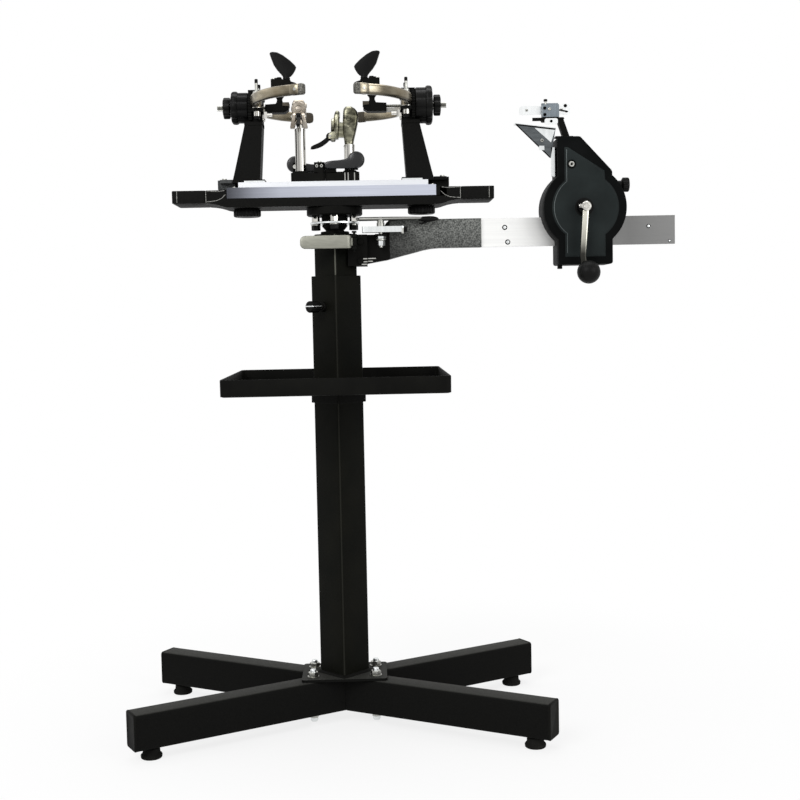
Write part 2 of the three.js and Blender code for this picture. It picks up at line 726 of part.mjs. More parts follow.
function toolTray() {
  const shell = prismZ(roundedRect(TRAY_WIDTH, TRAY_DEPTH, TRAY_CORNER), trayBottom, trayTop);
  const inset = 2 * TRAY_SHEET;
  const inside = roundedRect(TRAY_WIDTH - inset, TRAY_DEPTH - inset, TRAY_CORNER - TRAY_SHEET);
  const pocket = prismZ(inside, trayBottom + TRAY_SHEET, trayTop + OVERRUN);
  const square = roundedRect(COLLAR_WIDTH, COLLAR_WIDTH, COLLAR_CORNER);
  const collar = prismZ(square, collarBottom, trayBottom + TRAY_SHEET).rotateZ(columnTurn);
  const boreShape = roundedRect(collarBore, collarBore, collarBoreCorner);
  const hole = prismZ(boreShape, collarBottom - OVERRUN, trayTop);
  return cut(join(cut(shell, pocket), collar), hole.rotateZ(columnTurn));
}

// Bearing head with the fixed spindle that the turntable turns on
function bearingHead() {
  const start = mastTop + GAP;
  const neckStart = start + CAP_THICKNESS;
  return turned([
    [0, start],
    [CAP_RADIUS, start],
    [CAP_RADIUS, neckStart],
    [CAP_NECK_RADIUS, neckStart],
    [CAP_NECK_RADIUS, neckStart + CAP_NECK_HEIGHT],
    [CONE_RADIUS, discBottom - GAP],
    [SPINDLE_RADIUS, discBottom - GAP],
    [SPINDLE_RADIUS, spindleTop],
    [0, spindleTop],
  ]);
}

function brakeDisc() {
  const discTop = discBottom + DISC_THICKNESS;
  const disc = rodZ(DISC_RADIUS, discBottom, discTop, ROUND_SIDES);
  const spacers = [];
  for (let i = 0; i < SPACER_COUNT; i += 1) {
    const turn = (Math.PI * (2 * i + 1)) / SPACER_COUNT;
    const spacer = rodZ(SPACER_RADIUS, discBottom, flangeBottom - GAP);
    spacers.push(spacer.translate(SPACER_REACH, 0, 0).rotateZ(turn));
  }
  const bore = rodZ(SPINDLE_RADIUS + GAP, discBottom - OVERRUN, discTop + OVERRUN, ROUND_SIDES);
  return cut(join(disc, ...spacers), bore);
}

function spindleHub() {
  const start = discBottom + DISC_THICKNESS + GAP;
  const body = turned([
    [0, start],
    [HUB_NECK_RADIUS, start],
    [HUB_NECK_RADIUS, flangeBottom],
    [FLANGE_RADIUS, flangeBottom],
    [FLANGE_RADIUS, frameBottom - GAP],
    [0, frameBottom - GAP],
  ]);
  return cut(body, rodZ(SPINDLE_RADIUS + GAP, discBottom, frameBottom, ROUND_SIDES));
}

// Slots that let the tower locks slide along the turntable
function towerSlots(z0, z1) {
  const half = TABLE_KNOB_STEM_RADIUS + GAP;
  return [-1, 1].map((side) => {
    const middle = block(slotInner, slotOuter, -half, half, z0, z1);
    const slot = join(
      middle,
      rodZ(half, z0, z1).translate(slotInner, 0, 0),
      rodZ(half, z0, z1).translate(slotOuter, 0, 0),
    );
    return mirrored(slot, side);
  });
}

// Black base: flat middle, and a tray curving up at each end
function turntableBase() {
  const curveMiddle = (frameMiddleReach + wingCurveReach) / 2;
  const shape = new THREE.Shape();
  shape.moveTo(-frameMiddleReach, frameBottom);
  shape.lineTo(frameMiddleReach, frameBottom);
  shape.quadraticCurveTo(curveMiddle, wingBottom, wingCurveReach, wingBottom);
  shape.lineTo(frameReach, wingBottom);
  shape.lineTo(frameReach, wingTop);
  shape.lineTo(wingInnerReach, wingTop);
  shape.lineTo(wingInnerReach, bedBottom);
  shape.lineTo(-wingInnerReach, bedBottom);
  shape.lineTo(-wingInnerReach, wingTop);
  shape.lineTo(-frameReach, wingTop);
  shape.lineTo(-frameReach, wingBottom);
  shape.lineTo(-wingCurveReach, wingBottom);
  shape.quadraticCurveTo(-curveMiddle, wingBottom, -frameMiddleReach, frameBottom);
  const body = prismY(shape, -FRAME_HALF_DEPTH, FRAME_HALF_DEPTH);
  const inside = FRAME_HALF_DEPTH - POCKET_WALL;
  const pockets = [-1, 1].map((side) => mirrored(block(
    trayPocketReach,
    frameReach - POCKET_WALL,
    -inside,
    inside,
    wingBottom + POCKET_WALL,
    wingTop + OVERRUN,
  ), side));
  const bore = rodZ(SPINDLE_RADIUS + GAP, frameBottom - OVERRUN, bedBottom + OVERRUN, ROUND_SIDES);
  const slots = towerSlots(frameBottom - OVERRUN, bedBottom + OVERRUN);
  return cut(body, ...pockets, bore, ...slots);
}

// Aluminium bed: a thick slab with two raised rails beside the channel
function turntableBed() {
  const slab = block(
    -bedHalfLength,
    bedHalfLength,
    -BED_HALF_DEPTH,
    BED_HALF_DEPTH,
    bedBottom,
    bedTop,
  );
  const rails = block(
    -railHalfLength,
    railHalfLength,
    -RAIL_HALF_DEPTH,
    RAIL_HALF_DEPTH,
    bedBottom,
    railTop,
  );
  const channelEnd = railHalfLength + OVERRUN;
  const channel = block(
    -channelEnd,
    channelEnd,
    -CHANNEL_HALF_DEPTH,
    CHANNEL_HALF_DEPTH,
    bedTop,
    railTop + OVERRUN,
  );
  return cut(join(slab, rails), channel, ...towerSlots(bedBottom - OVERRUN, railTop));
}

// Tower: tapered post on a foot plate, with a tongue that runs in the channel
function towerPost() {
  const footTop = seatTop + TOWER_FOOT_THICKNESS;
  const trunk = prismY(outline([
    [towerInnerBottom, seatTop],
    [towerOuterBottom, seatTop],
    [towerOuterTop, towerTop],
    [towerInnerTop, towerTop],
  ]), -TOWER_HALF_DEPTH, TOWER_HALF_DEPTH);
  const foot = block(
    towerFootInner,
    towerOuterBottom,
    -TOWER_HALF_DEPTH,
    TOWER_HALF_DEPTH,
    seatTop,
    footTop,
  );
  const tongue = block(
    towerInnerBottom,
    towerOuterBottom,
    -tongueHalfDepth,
    tongueHalfDepth,
    bedTop + GAP,
    footTop,
  );
  const stop = block(
    railHalfLength,
    towerTongueOuter,
    -tongueHalfDepth,
    tongueHalfDepth,
    bedTop + GAP,
    towerTongueTop,
  );
  const bore = rodZ(TABLE_KNOB_STEM_RADIUS + GAP, bedBottom, towerBoreTop);
  return cut(join(trunk, foot, tongue, stop), bore.translate(towerReach, 0, 0));
}

function tableKnob() {
  const bottom = tableKnobTop - TABLE_KNOB_HEIGHT;
  const ribs = lobedRound(TABLE_KNOB_RADIUS, TABLE_KNOB_GROOVE, TABLE_KNOB_RIBS);
  const head = prismZ(ribs, bottom, tableKnobTop);
  return join(head, rodZ(TABLE_KNOB_STEM_RADIUS, bottom, towerBoreTop - 2 * GAP));
}

// Tower head with the ears, arm pins and the collar that the drum knob turns against
function towerHead() {
  const bottom = towerTop + GAP;
  const core = block(headInner, collarDiscOuter, -HEAD_HALF_DEPTH, HEAD_HALF_DEPTH, bottom, headCoreTop);
  const saddle = block(
    headInner,
    towerOuterTop,
    -TOWER_HALF_DEPTH,
    TOWER_HALF_DEPTH,
    bottom,
    headSaddleTop,
  );
  const collar = rodX(COLLAR_DISC_RADIUS, collarDiscInner, collarDiscOuter, ROUND_SIDES);
  const earOuter = 2 * armPivotX - earInner;
  const lowEar = block(
    earInner,
    earOuter,
    -EAR_HALF_DEPTH,
    EAR_HALF_DEPTH,
    armBottom - GAP - EAR_THICKNESS,
    armBottom - GAP,
  );
  const highEar = block(
    earInner,
    earOuter,
    -EAR_HALF_DEPTH,
    EAR_HALF_DEPTH,
    armTop + GAP,
    armTop + GAP + EAR_THICKNESS,
  );
  const pins = [-1, 1].flatMap((side) => {
    const sightPin = rodZ(SIGHT_PIN_RADIUS, armTop, sightPinTop);
    const armPin = rodZ(ARM_PIN_RADIUS, armBottom - EAR_THICKNESS, armTop + EAR_THICKNESS);
    return [sightPin, armPin].map((pin) => pin.translate(armPivotX, side * ARM_PIVOT_Y, 0));
  });
  const solid = join(core, saddle, collar.translate(0, 0, headAxisZ), lowEar, highEar, ...pins);
  const screwHole = rodX(SCREW_RADIUS + GAP, earInner - OVERRUN, drumOuter);
  const guideHalf = GUIDE_HALF_DEPTH + GAP;
  const guideSlot = block(
    earInner - OVERRUN,
    drumOuter,
    -guideHalf,
    guideHalf,
    supportBottom - GAP,
    supportBottom + GUIDE_THICKNESS + GAP,
  );
  const pocketHalf = SUPPORT_HALF_DEPTH + GAP;
  const pocket = block(
    earInner - OVERRUN,
    headPocketEnd,
    -pocketHalf,
    pocketHalf,
    supportBottom - GAP,
    supportTop + GAP,
  );
  return cut(solid, screwHole.translate(0, 0, headAxisZ), guideSlot, pocket);
}

// Ribbed drum knob with a lobed outer rim, bored for the lead screw
function drumKnob() {
  const start = collarDiscOuter + GAP;
  const body = prismX(lobedRound(DRUM_BODY_RADIUS, DRUM_GROOVE, DRUM_RIBS), start, drumStep + GAP);
  const rim = prismX(lobedRound(DRUM_LOBE_RADIUS, DRUM_LOBE_DEPTH, DRUM_LOBES), drumStep, drumOuter);
  const bore = rodX(SCREW_RADIUS + GAP, start - OVERRUN, drumOuter + OVERRUN);
  const hollow = rodX(DRUM_BORE_RADIUS, start - OVERRUN, drumStep, KNOB_SIDES);
  return cut(join(body, rim), bore, hollow).translate(0, 0, headAxisZ);
}

function starKnob() {
  const disc = prismX(lobedRound(STAR_RADIUS, STAR_LOBE_DEPTH, STAR_LOBES), starInner, starOuter);
  const screw = rodX(SCREW_RADIUS, screwTip, screwEnd);
  return join(disc, screw).translate(0, 0, headAxisZ);
}

// Curved side arm of the right-hand tower on the front side, with its pivot boss
function sideArm() {
  const reach = ARM_TIP_Y - ARM_PIVOT_Y;
  const route = ARM_ROUTE_SHARES.map(
    ([x, y]) => new THREE.Vector2(armPivotX * x, -ARM_PIVOT_Y - reach * y),
  );
  const curve = new THREE.SplineCurve(route);
  const near = [];
  const far = [];
  for (let i = 0; i <= ARM_STEPS; i += 1) {
    const share = i / ARM_STEPS;
    const at = curve.getPoint(share);
    const along = curve.getTangent(share);
    const half = (ARM_THICKNESS / 2) * (1 - ARM_TAPER_SHARE * share);
    near.push([at.x - along.y * half, at.y + along.x * half]);
    far.unshift([at.x + along.y * half, at.y - along.x * half]);
  }
  const bar = prismZ(outline([...near, ...far]), armBottom, armTop);
  const boss = rodZ(ARM_THICKNESS * ARM_BOSS_SHARE, armBottom, armTop, BOSS_SIDES);
  const bore = rodZ(ARM_PIN_RADIUS + GAP, armBottom - OVERRUN, armTop + OVERRUN);
  const clearOfHead = block(
    headInner - OVERRUN,
    2 * armPivotX,
    -HEAD_HALF_DEPTH - GAP,
    HEAD_HALF_DEPTH,
    armBottom - OVERRUN,
    armTop + OVERRUN,
  );
  return cut(
    join(bar, boss.translate(armPivotX, -ARM_PIVOT_Y, 0)),
    bore.translate(armPivotX, -ARM_PIVOT_Y, 0),
    clearOfHead,
  );
}

// Centre support: block on the lead screw with a guide bar below and the post on top
function centreSupport(leafReach) {
  const at = (offset) => leafReach + offset;
  const body = prismY(outline([
    [at(-SUPPORT_INNER), supportBottom + SUPPORT_NOSE],
    [at(SUPPORT_NOSE), supportBottom],
    [at(SUPPORT_OUTER), supportBottom],
    [at(SUPPORT_OUTER), supportTop - SUPPORT_NOSE / 2],
    [at(-SUPPORT_INNER), supportTop],
  ]), -SUPPORT_HALF_DEPTH, SUPPORT_HALF_DEPTH);
  const guide = block(
    at(GUIDE_START),
    at(GUIDE_END),
    -GUIDE_HALF_DEPTH,
    GUIDE_HALF_DEPTH,
    supportBottom,
    supportBottom + GUIDE_THICKNESS,
  );
  const post = turned([
    [0, supportBottom + SUPPORT_NOSE],
    [POST_FLARE_RADIUS, supportBottom + SUPPORT_NOSE],
    [POST_FLARE_RADIUS, supportTop],
    [POST_WAIST_RADIUS, (supportTop + postSeatZ) / 2],
    [POST_SEAT_RADIUS, postSeatZ],
    [POST_RADIUS, postSeatZ],
    [POST_RADIUS, postTop],
    [0, postTop],
  ], KNOB_SIDES);
  const bore = rodX(SCREW_RADIUS + GAP, at(0), at(SUPPORT_OUTER + OVERRUN));
  return cut(
    join(body, guide, post.translate(at(POST_OFFSET), 0, 0)),
    bore.translate(0, 0, headAxisZ),
  );
}

// Hold-down jaw: swings on the post, and the leaf screw runs down through it
function holdDownJaw(leafReach) {
  const at = (offset) => leafReach + offset;
  const body = prismY(outline([
    [at(-JAW_INNER), jawBottom + JAW_SLOPE],
    [at(0), jawBottom],
    [at(JAW_OUTER), jawBottom],
    [at(JAW_OUTER), jawTop],
    [at(JAW_NOSE), jawTop],
    [at(-JAW_INNER), jawTop - JAW_NOSE],
  ]), -JAW_HALF_DEPTH, JAW_HALF_DEPTH);
  const leafBore = rodZ(LEAF_STEM_RADIUS + GAP, jawBottom - OVERRUN, jawTop + OVERRUN);
  const postBore = rodZ(POST_RADIUS + GAP, jawBottom - OVERRUN, jawTop + OVERRUN);
  return cut(body, leafBore.translate(at(0), 0, 0), postBore.translate(at(POST_OFFSET), 0, 0));
}

// Leaf-shaped knob, drawn for the right-hand tower with its tip leaning outward
function leafKnob(leafReach) {
  const footBottom = jawTop + GAP;
  const footTop = footBottom + LEAF_FOOT_HEIGHT;
  const bladeBottom = footTop - GAP;
  const bladeHeight = LEAF_HEIGHT - LEAF_FOOT_HEIGHT;
  const points = LEAF_SHAPE_SHARES.map(([x, z]) => [x * LEAF_HEIGHT, bladeBottom + z * bladeHeight]);
  const blade = prismY(outline(points), -LEAF_THICKNESS / 2, LEAF_THICKNESS / 2);
  const foot = turned([
    [0, footBottom],
    [POST_RADIUS, footBottom],
    [LEAF_FOOT_RADIUS - LEAF_STEM_RADIUS / 2, footTop],
    [0, footTop],
  ], BOSS_SIDES);
  const stem = rodZ(LEAF_STEM_RADIUS, leafTipZ, footTop);
  return join(blade, foot, stem).translate(leafReach, 0, 0);
}

// String clamps, drawn about the post's axis with the jaws opening towards -X
function clampBase() {
  const top = seatTop + CLAMP_BASE_HEIGHT;
  const plate = block(
    -CLAMP_BASE_FAR,
    CLAMP_BASE_NEAR,
    -CLAMP_BASE_HALF_DEPTH,
    CLAMP_BASE_HALF_DEPTH,
    seatTop,
    top,
  );
  const step = block(
    -CLAMP_BASE_FAR,
    -CLAMP_BASE_FAR + CLAMP_BASE_STEP_WIDTH,
    -CLAMP_BASE_HALF_DEPTH,
    CLAMP_BASE_HALF_DEPTH,
    seatTop,
    top + CLAMP_BASE_STEP,
  );
  const tongue = block(
    -CLAMP_BASE_FAR + CLAMP_BASE_STEP_WIDTH,
    CLAMP_BASE_NEAR,
    -tongueHalfDepth,
    tongueHalfDepth,
    bedTop + GAP,
    seatTop + GAP,
  );
  const pin = rodY(BASE_LEVER_PIN_RADIUS, -baseLeverPinLength, 0);
  pin.translate(BASE_LEVER_DISC_X, -baseEarFace, baseLeverZ);
  const ear = block(
    BASE_LEVER_DISC_X - BASE_LEVER_EAR,
    BASE_LEVER_DISC_X + BASE_LEVER_EAR / 2,
    -CLAMP_BASE_HALF_DEPTH,
    -baseEarFace,
    top - GAP,
    baseLeverZ + BASE_LEVER_EAR,
  );
  const socket = rodZ(CLAMP_POST_RADIUS + GAP, top - CLAMP_BASE_HEIGHT / 2, top + OVERRUN, KNOB_SIDES);
  return cut(join(plate, step, tongue, ear, pin), socket);
}

function baseLever() {
  const back = -CLAMP_BASE_HALF_DEPTH - GAP;
  const front = back - BASE_LEVER_THICKNESS;
  const disc = rodY(BASE_LEVER_DISC_RADIUS, front, back, KNOB_SIDES);
  const blade = taperedBar(BASE_LEVER_BLADE, BASE_LEVER_BLADE / 2, BASE_LEVER_LENGTH, front, back);
  blade.rotateY(Math.PI / 2 - THREE.MathUtils.degToRad(BASE_LEVER_DROP_DEG));
  const bore = rodY(BASE_LEVER_PIN_RADIUS + GAP, front - OVERRUN, back + OVERRUN);
  return cut(join(disc, blade), bore).translate(BASE_LEVER_DISC_X, 0, baseLeverZ);
}

// Post with the fixed jaw block on top
function clampPost(shoulder, headBottom, headTop) {
  const socketFloor = seatTop + CLAMP_BASE_HEIGHT / 2 + GAP;
  const post = turned([
    [0, socketFloor],
    [CLAMP_POST_RADIUS, socketFloor],
    [CLAMP_POST_RADIUS, shoulder],
    [CLAMP_NECK_RADIUS, shoulder],
    [CLAMP_NECK_RADIUS, headBottom + CLAMP_NECK_RADIUS],
    [0, headBottom + CLAMP_NECK_RADIUS],
  ], KNOB_SIDES);
  const head = prismX(
    roundedRect(2 * CLAMP_HEAD_HALF_DEPTH, headTop - headBottom, CLAMP_HEAD_HALF_DEPTH / 2),
    -CLAMP_HEAD_NEAR,
    CLAMP_HEAD_FAR,
  ).translate(0, 0, (headBottom + headTop) / 2);
  const pinHole = rodX(CLAMP_JAW_PIN_RADIUS + GAP, -CLAMP_HEAD_NEAR - OVERRUN, CLAMP_HEAD_FAR - OVERRUN);
  return cut(join(post, head), pinHole.translate(0, 0, (headBottom + headTop) / 2));
}

// Moving jaw with its guide pin, round adjusting disc and lever ears
function clampJaw(headBottom, headTop) {
  const middle = (headBottom + headTop) / 2;
  const inner = -CLAMP_HEAD_NEAR - CLAMP_JAW_SPACE;
  const outer = inner - CLAMP_JAW_THICKNESS;
  const plate = prismX(
    roundedRect(2 * CLAMP_HEAD_HALF_DEPTH, headTop - headBottom, CLAMP_HEAD_HALF_DEPTH / 2),
    outer,
    inner,
  );
  const pin = rodX(CLAMP_JAW_PIN_RADIUS, inner - GAP, inner + CLAMP_JAW_SPACE + CLAMP_JAW_PIN_LENGTH);
  const disc = rodX(CLAMP_DISC_RADIUS, outer - CLAMP_DISC_THICKNESS, outer + GAP, KNOB_SIDES);
  const lever = leverPlace(headBottom, headTop);
  const leverPin = rodY(CLAMP_LEVER_BORE, -CLAMP_HEAD_HALF_DEPTH, CLAMP_HEAD_HALF_DEPTH);
  const ears = [-1, 1].map((side) => {
    const near = side * (CLAMP_LEVER_THICKNESS / 2 + GAP);
    const far = side * CLAMP_HEAD_HALF_DEPTH;
    return block(
      lever.x - 2 * CLAMP_LEVER_BORE,
      outer + CLAMP_JAW_THICKNESS / 2,
      Math.min(near, far),
      Math.max(near, far),
      lever.z - CLAMP_LEVER_EYE / 2,
      headBottom + CLAMP_HEAD_HALF_DEPTH,
    );
  });
  return join(
    join(plate, pin, disc).translate(0, 0, middle),
    leverPin.translate(lever.x, 0, lever.z),
    ...ears,
  );
}

function leverPlace(headBottom, headTop) {
  const outer = -CLAMP_HEAD_NEAR - CLAMP_JAW_SPACE - CLAMP_JAW_THICKNESS;
  const middle = (headBottom + headTop) / 2;
  return {
    x: outer - CLAMP_LEVER_EYE - GAP,
    z: Math.min(headBottom + CLAMP_LEVER_EYE, middle - CLAMP_DISC_RADIUS - CLAMP_LEVER_EYE - GAP),
  };
}

function clampLever(headBottom, headTop) {
  const half = CLAMP_LEVER_THICKNESS / 2;
  const lever = leverPlace(headBottom, headTop);
  const bar = taperedBar(CLAMP_LEVER_EYE, CLAMP_LEVER_TIP, CLAMP_LEVER_LENGTH, -half, half);
  bar.rotateY(Math.PI / 2 - THREE.MathUtils.degToRad(CLAMP_LEVER_DROP_DEG));
  const bore = rodY(CLAMP_LEVER_BORE + GAP, -half - OVERRUN, half + OVERRUN);
  return cut(bar, bore).translate(lever.x, 0, lever.z);
}

// Tension arm: cranked bar with a notched bracket that wraps the mast's corner
function tensionArm() {
  const bar = prismY(outline([
    [ARM_START, armRootBottom],
    [ARM_HEEL_REACH, armHeelBottom],
    [ARM_BELLY_REACH, armBellyBottom],
    [armKneeReach, tensionArmBottom],
    [ARM_END, tensionArmBottom],
    [ARM_END, tensionArmTop],
    [ARM_SHOULDER_REACH, tensionArmTop],
    [ARM_NECK_REACH, armNeckTop],
    [ARM_START, armNeckTop],
  ]), -ARM_HALF_THICKNESS, ARM_HALF_THICKNESS);
  const bracket = block(
    BRACKET_START,
    BRACKET_END,
    -BRACKET_HALF_DEPTH,
    BRACKET_HALF_DEPTH,
    armRootBottom,
    armNeckTop,
  );
  const tongueBack = ARM_HALF_THICKNESS;
  const tongueFront = tongueBack - ARM_TONGUE_THICKNESS;
  const tongue = block(
    ARM_END - OVERRUN,
    armTongueEnd,
    tongueFront,
    tongueBack,
    tensionArmBottom,
    tensionArmTop,
  );
  const barrelMiddle = paddleBottom + PADDLE_HEIGHT / 2;
  const lugs = [-1, 1].map((side) => {
    const face = barrelMiddle + side * (PADDLE_BARREL_HEIGHT / 2 + GAP);
    const end = face + side * LUG_THICKNESS;
    return block(
      PADDLE_PIVOT_X - PADDLE_BARREL_RADIUS,
      PADDLE_PIVOT_X + PADDLE_BARREL_RADIUS,
      PADDLE_PIVOT_Y - PADDLE_BARREL_RADIUS,
      -BRACKET_HALF_DEPTH + OVERRUN,
      Math.min(face, end),
      Math.max(face, end),
    );
  });
  const pinHalf = PADDLE_BARREL_HEIGHT / 2 + LUG_THICKNESS;
  const paddlePin = rodZ(PADDLE_PIN_RADIUS, barrelMiddle - pinHalf, barrelMiddle + pinHalf);
  const brakeLug = block(
    BRAKE_PIVOT_X - BRAKE_PLATE_HALF_DEPTH,
    BRAKE_PIVOT_X + BRAKE_PLATE_HALF_DEPTH,
    BRAKE_PIVOT_Y - BRAKE_PLATE_HALF_DEPTH,
    -ARM_HALF_THICKNESS + GAP,
    brakeNutBottom + BRAKE_NUT_HEIGHT + GAP,
    armNeckTop,
  );
  const square = roundedRect(columnBore, columnBore, columnBoreCorner);
  const mastSpace = prismZ(square, armRootBottom - OVERRUN, tensionArmTop + OVERRUN).rotateZ(columnTurn);
  const brakeHole = rodZ(BRAKE_PIN_RADIUS + GAP, brakeNutBottom, armNeckTop + OVERRUN);
  return cut(
    join(bar, bracket, tongue, ...lugs, paddlePin.translate(PADDLE_PIVOT_X, PADDLE_PIVOT_Y, 0), brakeLug),
    mastSpace,
    brakeHole.translate(BRAKE_PIVOT_X, BRAKE_PIVOT_Y, 0),
  );
}

function paddleLever() {
  const middle = paddleBottom + PADDLE_HEIGHT / 2;
  const width = PADDLE_RIGHT - PADDLE_LEFT;
  const sheet = prismY(
    roundedRect(width, PADDLE_HEIGHT, PADDLE_CORNER),
    PADDLE_FRONT,
    PADDLE_FRONT + PADDLE_SHEET,
  ).translate((PADDLE_LEFT + PADDLE_RIGHT) / 2, 0, middle);
  const half = PADDLE_BARREL_HEIGHT / 2;
  const barrel = rodZ(PADDLE_BARREL_RADIUS, middle - half, middle + half, BOSS_SIDES);
  const web = block(
    PADDLE_RIGHT - PADDLE_CORNER,
    PADDLE_PIVOT_X,
    PADDLE_FRONT,
    PADDLE_PIVOT_Y - PADDLE_PIN_RADIUS - GAP,
    middle - half,
    middle + half,
  );
  const bore = rodZ(PADDLE_PIN_RADIUS + GAP, middle - half - OVERRUN, middle + half + OVERRUN);
  return cut(
    join(sheet, barrel.translate(PADDLE_PIVOT_X, PADDLE_PIVOT_Y, 0), web),
    bore.translate(PADDLE_PIVOT_X, PADDLE_PIVOT_Y, 0),
  );
}

// Brake handle: plate on a pivot bolt, with a long rod and a grip
function brakeHandle() {
  const plate = block(
    BRAKE_PLATE_LEFT,
    BRAKE_PLATE_RIGHT,
    BRAKE_PIVOT_Y - BRAKE_PLATE_HALF_DEPTH,
    BRAKE_PIVOT_Y + BRAKE_PLATE_HALF_DEPTH,
    brakePlateBottom,
    brakePlateBottom + BRAKE_PLATE_THICKNESS,
  );
  const bolt = rodZ(BRAKE_PIN_RADIUS, brakeNutBottom - GAP, brakeRodBottom + GAP);
  const nut = rodZ(BRAKE_NUT_RADIUS, brakeNutBottom, brakeNutBottom + BRAKE_NUT_HEIGHT, HEX_SIDES);
  const collar = rodZ(BRAKE_NUT_RADIUS, brakePlateBottom, brakeRodBottom + BRAKE_ROD_HEIGHT, BOSS_SIDES);
  const rodTop = brakeRodBottom + BRAKE_ROD_HEIGHT;
  const rod = block(
    BRAKE_PLATE_LEFT,
    BRAKE_ROD_END + GAP,
    BRAKE_PIVOT_Y - BRAKE_ROD_HALF_DEPTH,
    BRAKE_PIVOT_Y + BRAKE_ROD_HALF_DEPTH,
    brakeRodBottom,
    rodTop,
  );
  const grip = block(
    BRAKE_ROD_END,
    BRAKE_GRIP_END,
    BRAKE_PIVOT_Y - BRAKE_GRIP_HALF_DEPTH,
    BRAKE_PIVOT_Y + BRAKE_GRIP_HALF_DEPTH,
    rodTop - BRAKE_GRIP_HEIGHT,
    rodTop,
  );
  const place = (piece) => piece.translate(BRAKE_PIVOT_X, BRAKE_PIVOT_Y, 0);
  return join(plate, rod, grip, ...[bolt, nut, collar].map(place));
}

function tensionRail() {
  const half = RAIL_HALF_THICKNESS;
  return block(railStart, railEnd, -half, half, tensionArmBottom, tensionArmTop);
}

// Tension head outline about its centre line, grown or shrunk by a margin
function headOutline(margin) {
  const half = HEAD_HALF_WIDTH + margin;
  const radius = HEAD_ROUND_RADIUS + margin;
  const rise = Math.sqrt(radius * radius - half * half);
  const swing = Math.atan2(rise, half);
  const diagonal = margin * (Math.SQRT2 - 1);
  const shape = new THREE.Shape();
  shape.moveTo(-half, headBaseZ - margin);
  shape.lineTo(half, headBaseZ - margin);
  shape.absarc(0, headRoundZ, radius, -swing, swing);
  shape.lineTo(half, headShoulder + diagonal);
  shape.lineTo(-half + HEAD_TOP_WIDTH + margin + diagonal, headTopZ + margin);
  shape.lineTo(-half, headTopZ + margin);
  shape.absarc(0, headRoundZ, radius, Math.PI - swing, Math.PI + swing);
  return shape;
}

function headPrism(margin, y0, y1) {
  const options = { depth: y1 - y0, bevelEnabled: false, curveSegments: HEAD_ROUND_STEPS };
  const geometry = new THREE.ExtrudeGeometry(headOutline(margin), options);
  return geometry.translate(0, 0, -y1).rotateX(Math.PI / 2);
}

// Rear housing: carries the rail tunnel, the crank shaft and the gripper stand
function rearHousing() {
  const shell = headPrism(0, HEAD_SPLIT, HEAD_BACK);
  const tunnelFront = -RAIL_HALF_THICKNESS - GAP;
  const tunnelBack = ARM_HALF_THICKNESS + GAP;
  const webFront = tunnelFront - HEAD_WALL;
  const pocket = headPrism(-HEAD_WALL, HEAD_SPLIT - OVERRUN, webFront);
  const across = HEAD_ROUND_RADIUS + OVERRUN;
  const tunnelBottom = tensionArmBottom - GAP;
  const tunnelTop = tensionArmTop + GAP;
  const tunnel = block(-across, across, tunnelFront, tunnelBack, tunnelBottom, tunnelTop);
  const pinionSpace = rodY(pinionRadius + GAP, tunnelFront, tunnelBack, KNOB_SIDES);
  const shaftHole = rodY(CRANK_SHAFT_RADIUS + GAP, HEAD_SPLIT, tunnelFront + OVERRUN, KNOB_SIDES);
  const settingHole = rodX(SETTING_STEM_RADIUS + GAP, HEAD_HALF_WIDTH / 2, across);
  return cut(
    shell,
    pocket,
    tunnel,
    pinionSpace.translate(hubX, 0, headRoundZ),
    shaftHole.translate(hubX, 0, headRoundZ),
    settingHole.translate(0, SETTING_Y, settingZ),
  );
}

function frontCover() {
  const shell = headPrism(0, HEAD_FRONT, HEAD_SPLIT - GAP);
  const pocket = headPrism(-HEAD_WALL, HEAD_FRONT + HEAD_WALL, HEAD_SPLIT + OVERRUN);
  const panelFront = HEAD_FRONT - PANEL_RAISE;
  const half = HEAD_HALF_WIDTH - PANEL_MARGIN;
  const disc = rodY(PANEL_RADIUS, panelFront, HEAD_FRONT + GAP, ROUND_SIDES);
  disc.translate(0, 0, headRoundZ);
  const panel = prismY(outline([
    [-half, headBaseZ + PANEL_MARGIN],
    [half, headBaseZ + PANEL_MARGIN],
    [half, headShoulder - PANEL_MARGIN],
    [-half + HEAD_TOP_WIDTH / 4, headTopZ - PANEL_MARGIN - PANEL_MARGIN / 2],
    [-half, headTopZ - PANEL_MARGIN - PANEL_MARGIN / 2],
  ]), panelFront, HEAD_FRONT + GAP);
  const shaftHole = rodY(CRANK_SHAFT_RADIUS + GAP, panelFront - OVERRUN, HEAD_SPLIT, KNOB_SIDES);
  return cut(join(cut(shell, pocket), disc, panel), shaftHole.translate(hubX, 0, headRoundZ));
}

// Crank: hub, drop arm, shaft and the pinion that rolls along the rail's top edge
function crank() {
  const panelFront = HEAD_FRONT - PANEL_RAISE;
  const pinion = rodY(pinionRadius, -RAIL_HALF_THICKNESS, ARM_HALF_THICKNESS, KNOB_SIDES);
  const shaft = rodY(CRANK_SHAFT_RADIUS, CRANK_HUB_FRONT, 0, KNOB_SIDES);
  const hub = rodY(CRANK_HUB_RADIUS, CRANK_HUB_FRONT - GAP, panelFront - GAP, KNOB_SIDES);
  const arm = taperedBar(CRANK_ARM_ROOT, CRANK_ARM_TIP, CRANK_ARM_LENGTH, crankArmFront, CRANK_HUB_FRONT);
  const pin = rodY(CRANK_PIN_RADIUS, crankArmFront - CRANK_PIN_LENGTH, crankArmFront + GAP);
  const solid = join(pinion, shaft, hub, arm, pin.translate(0, 0, -CRANK_ARM_LENGTH));
  return solid.translate(hubX, 0, headRoundZ);
}

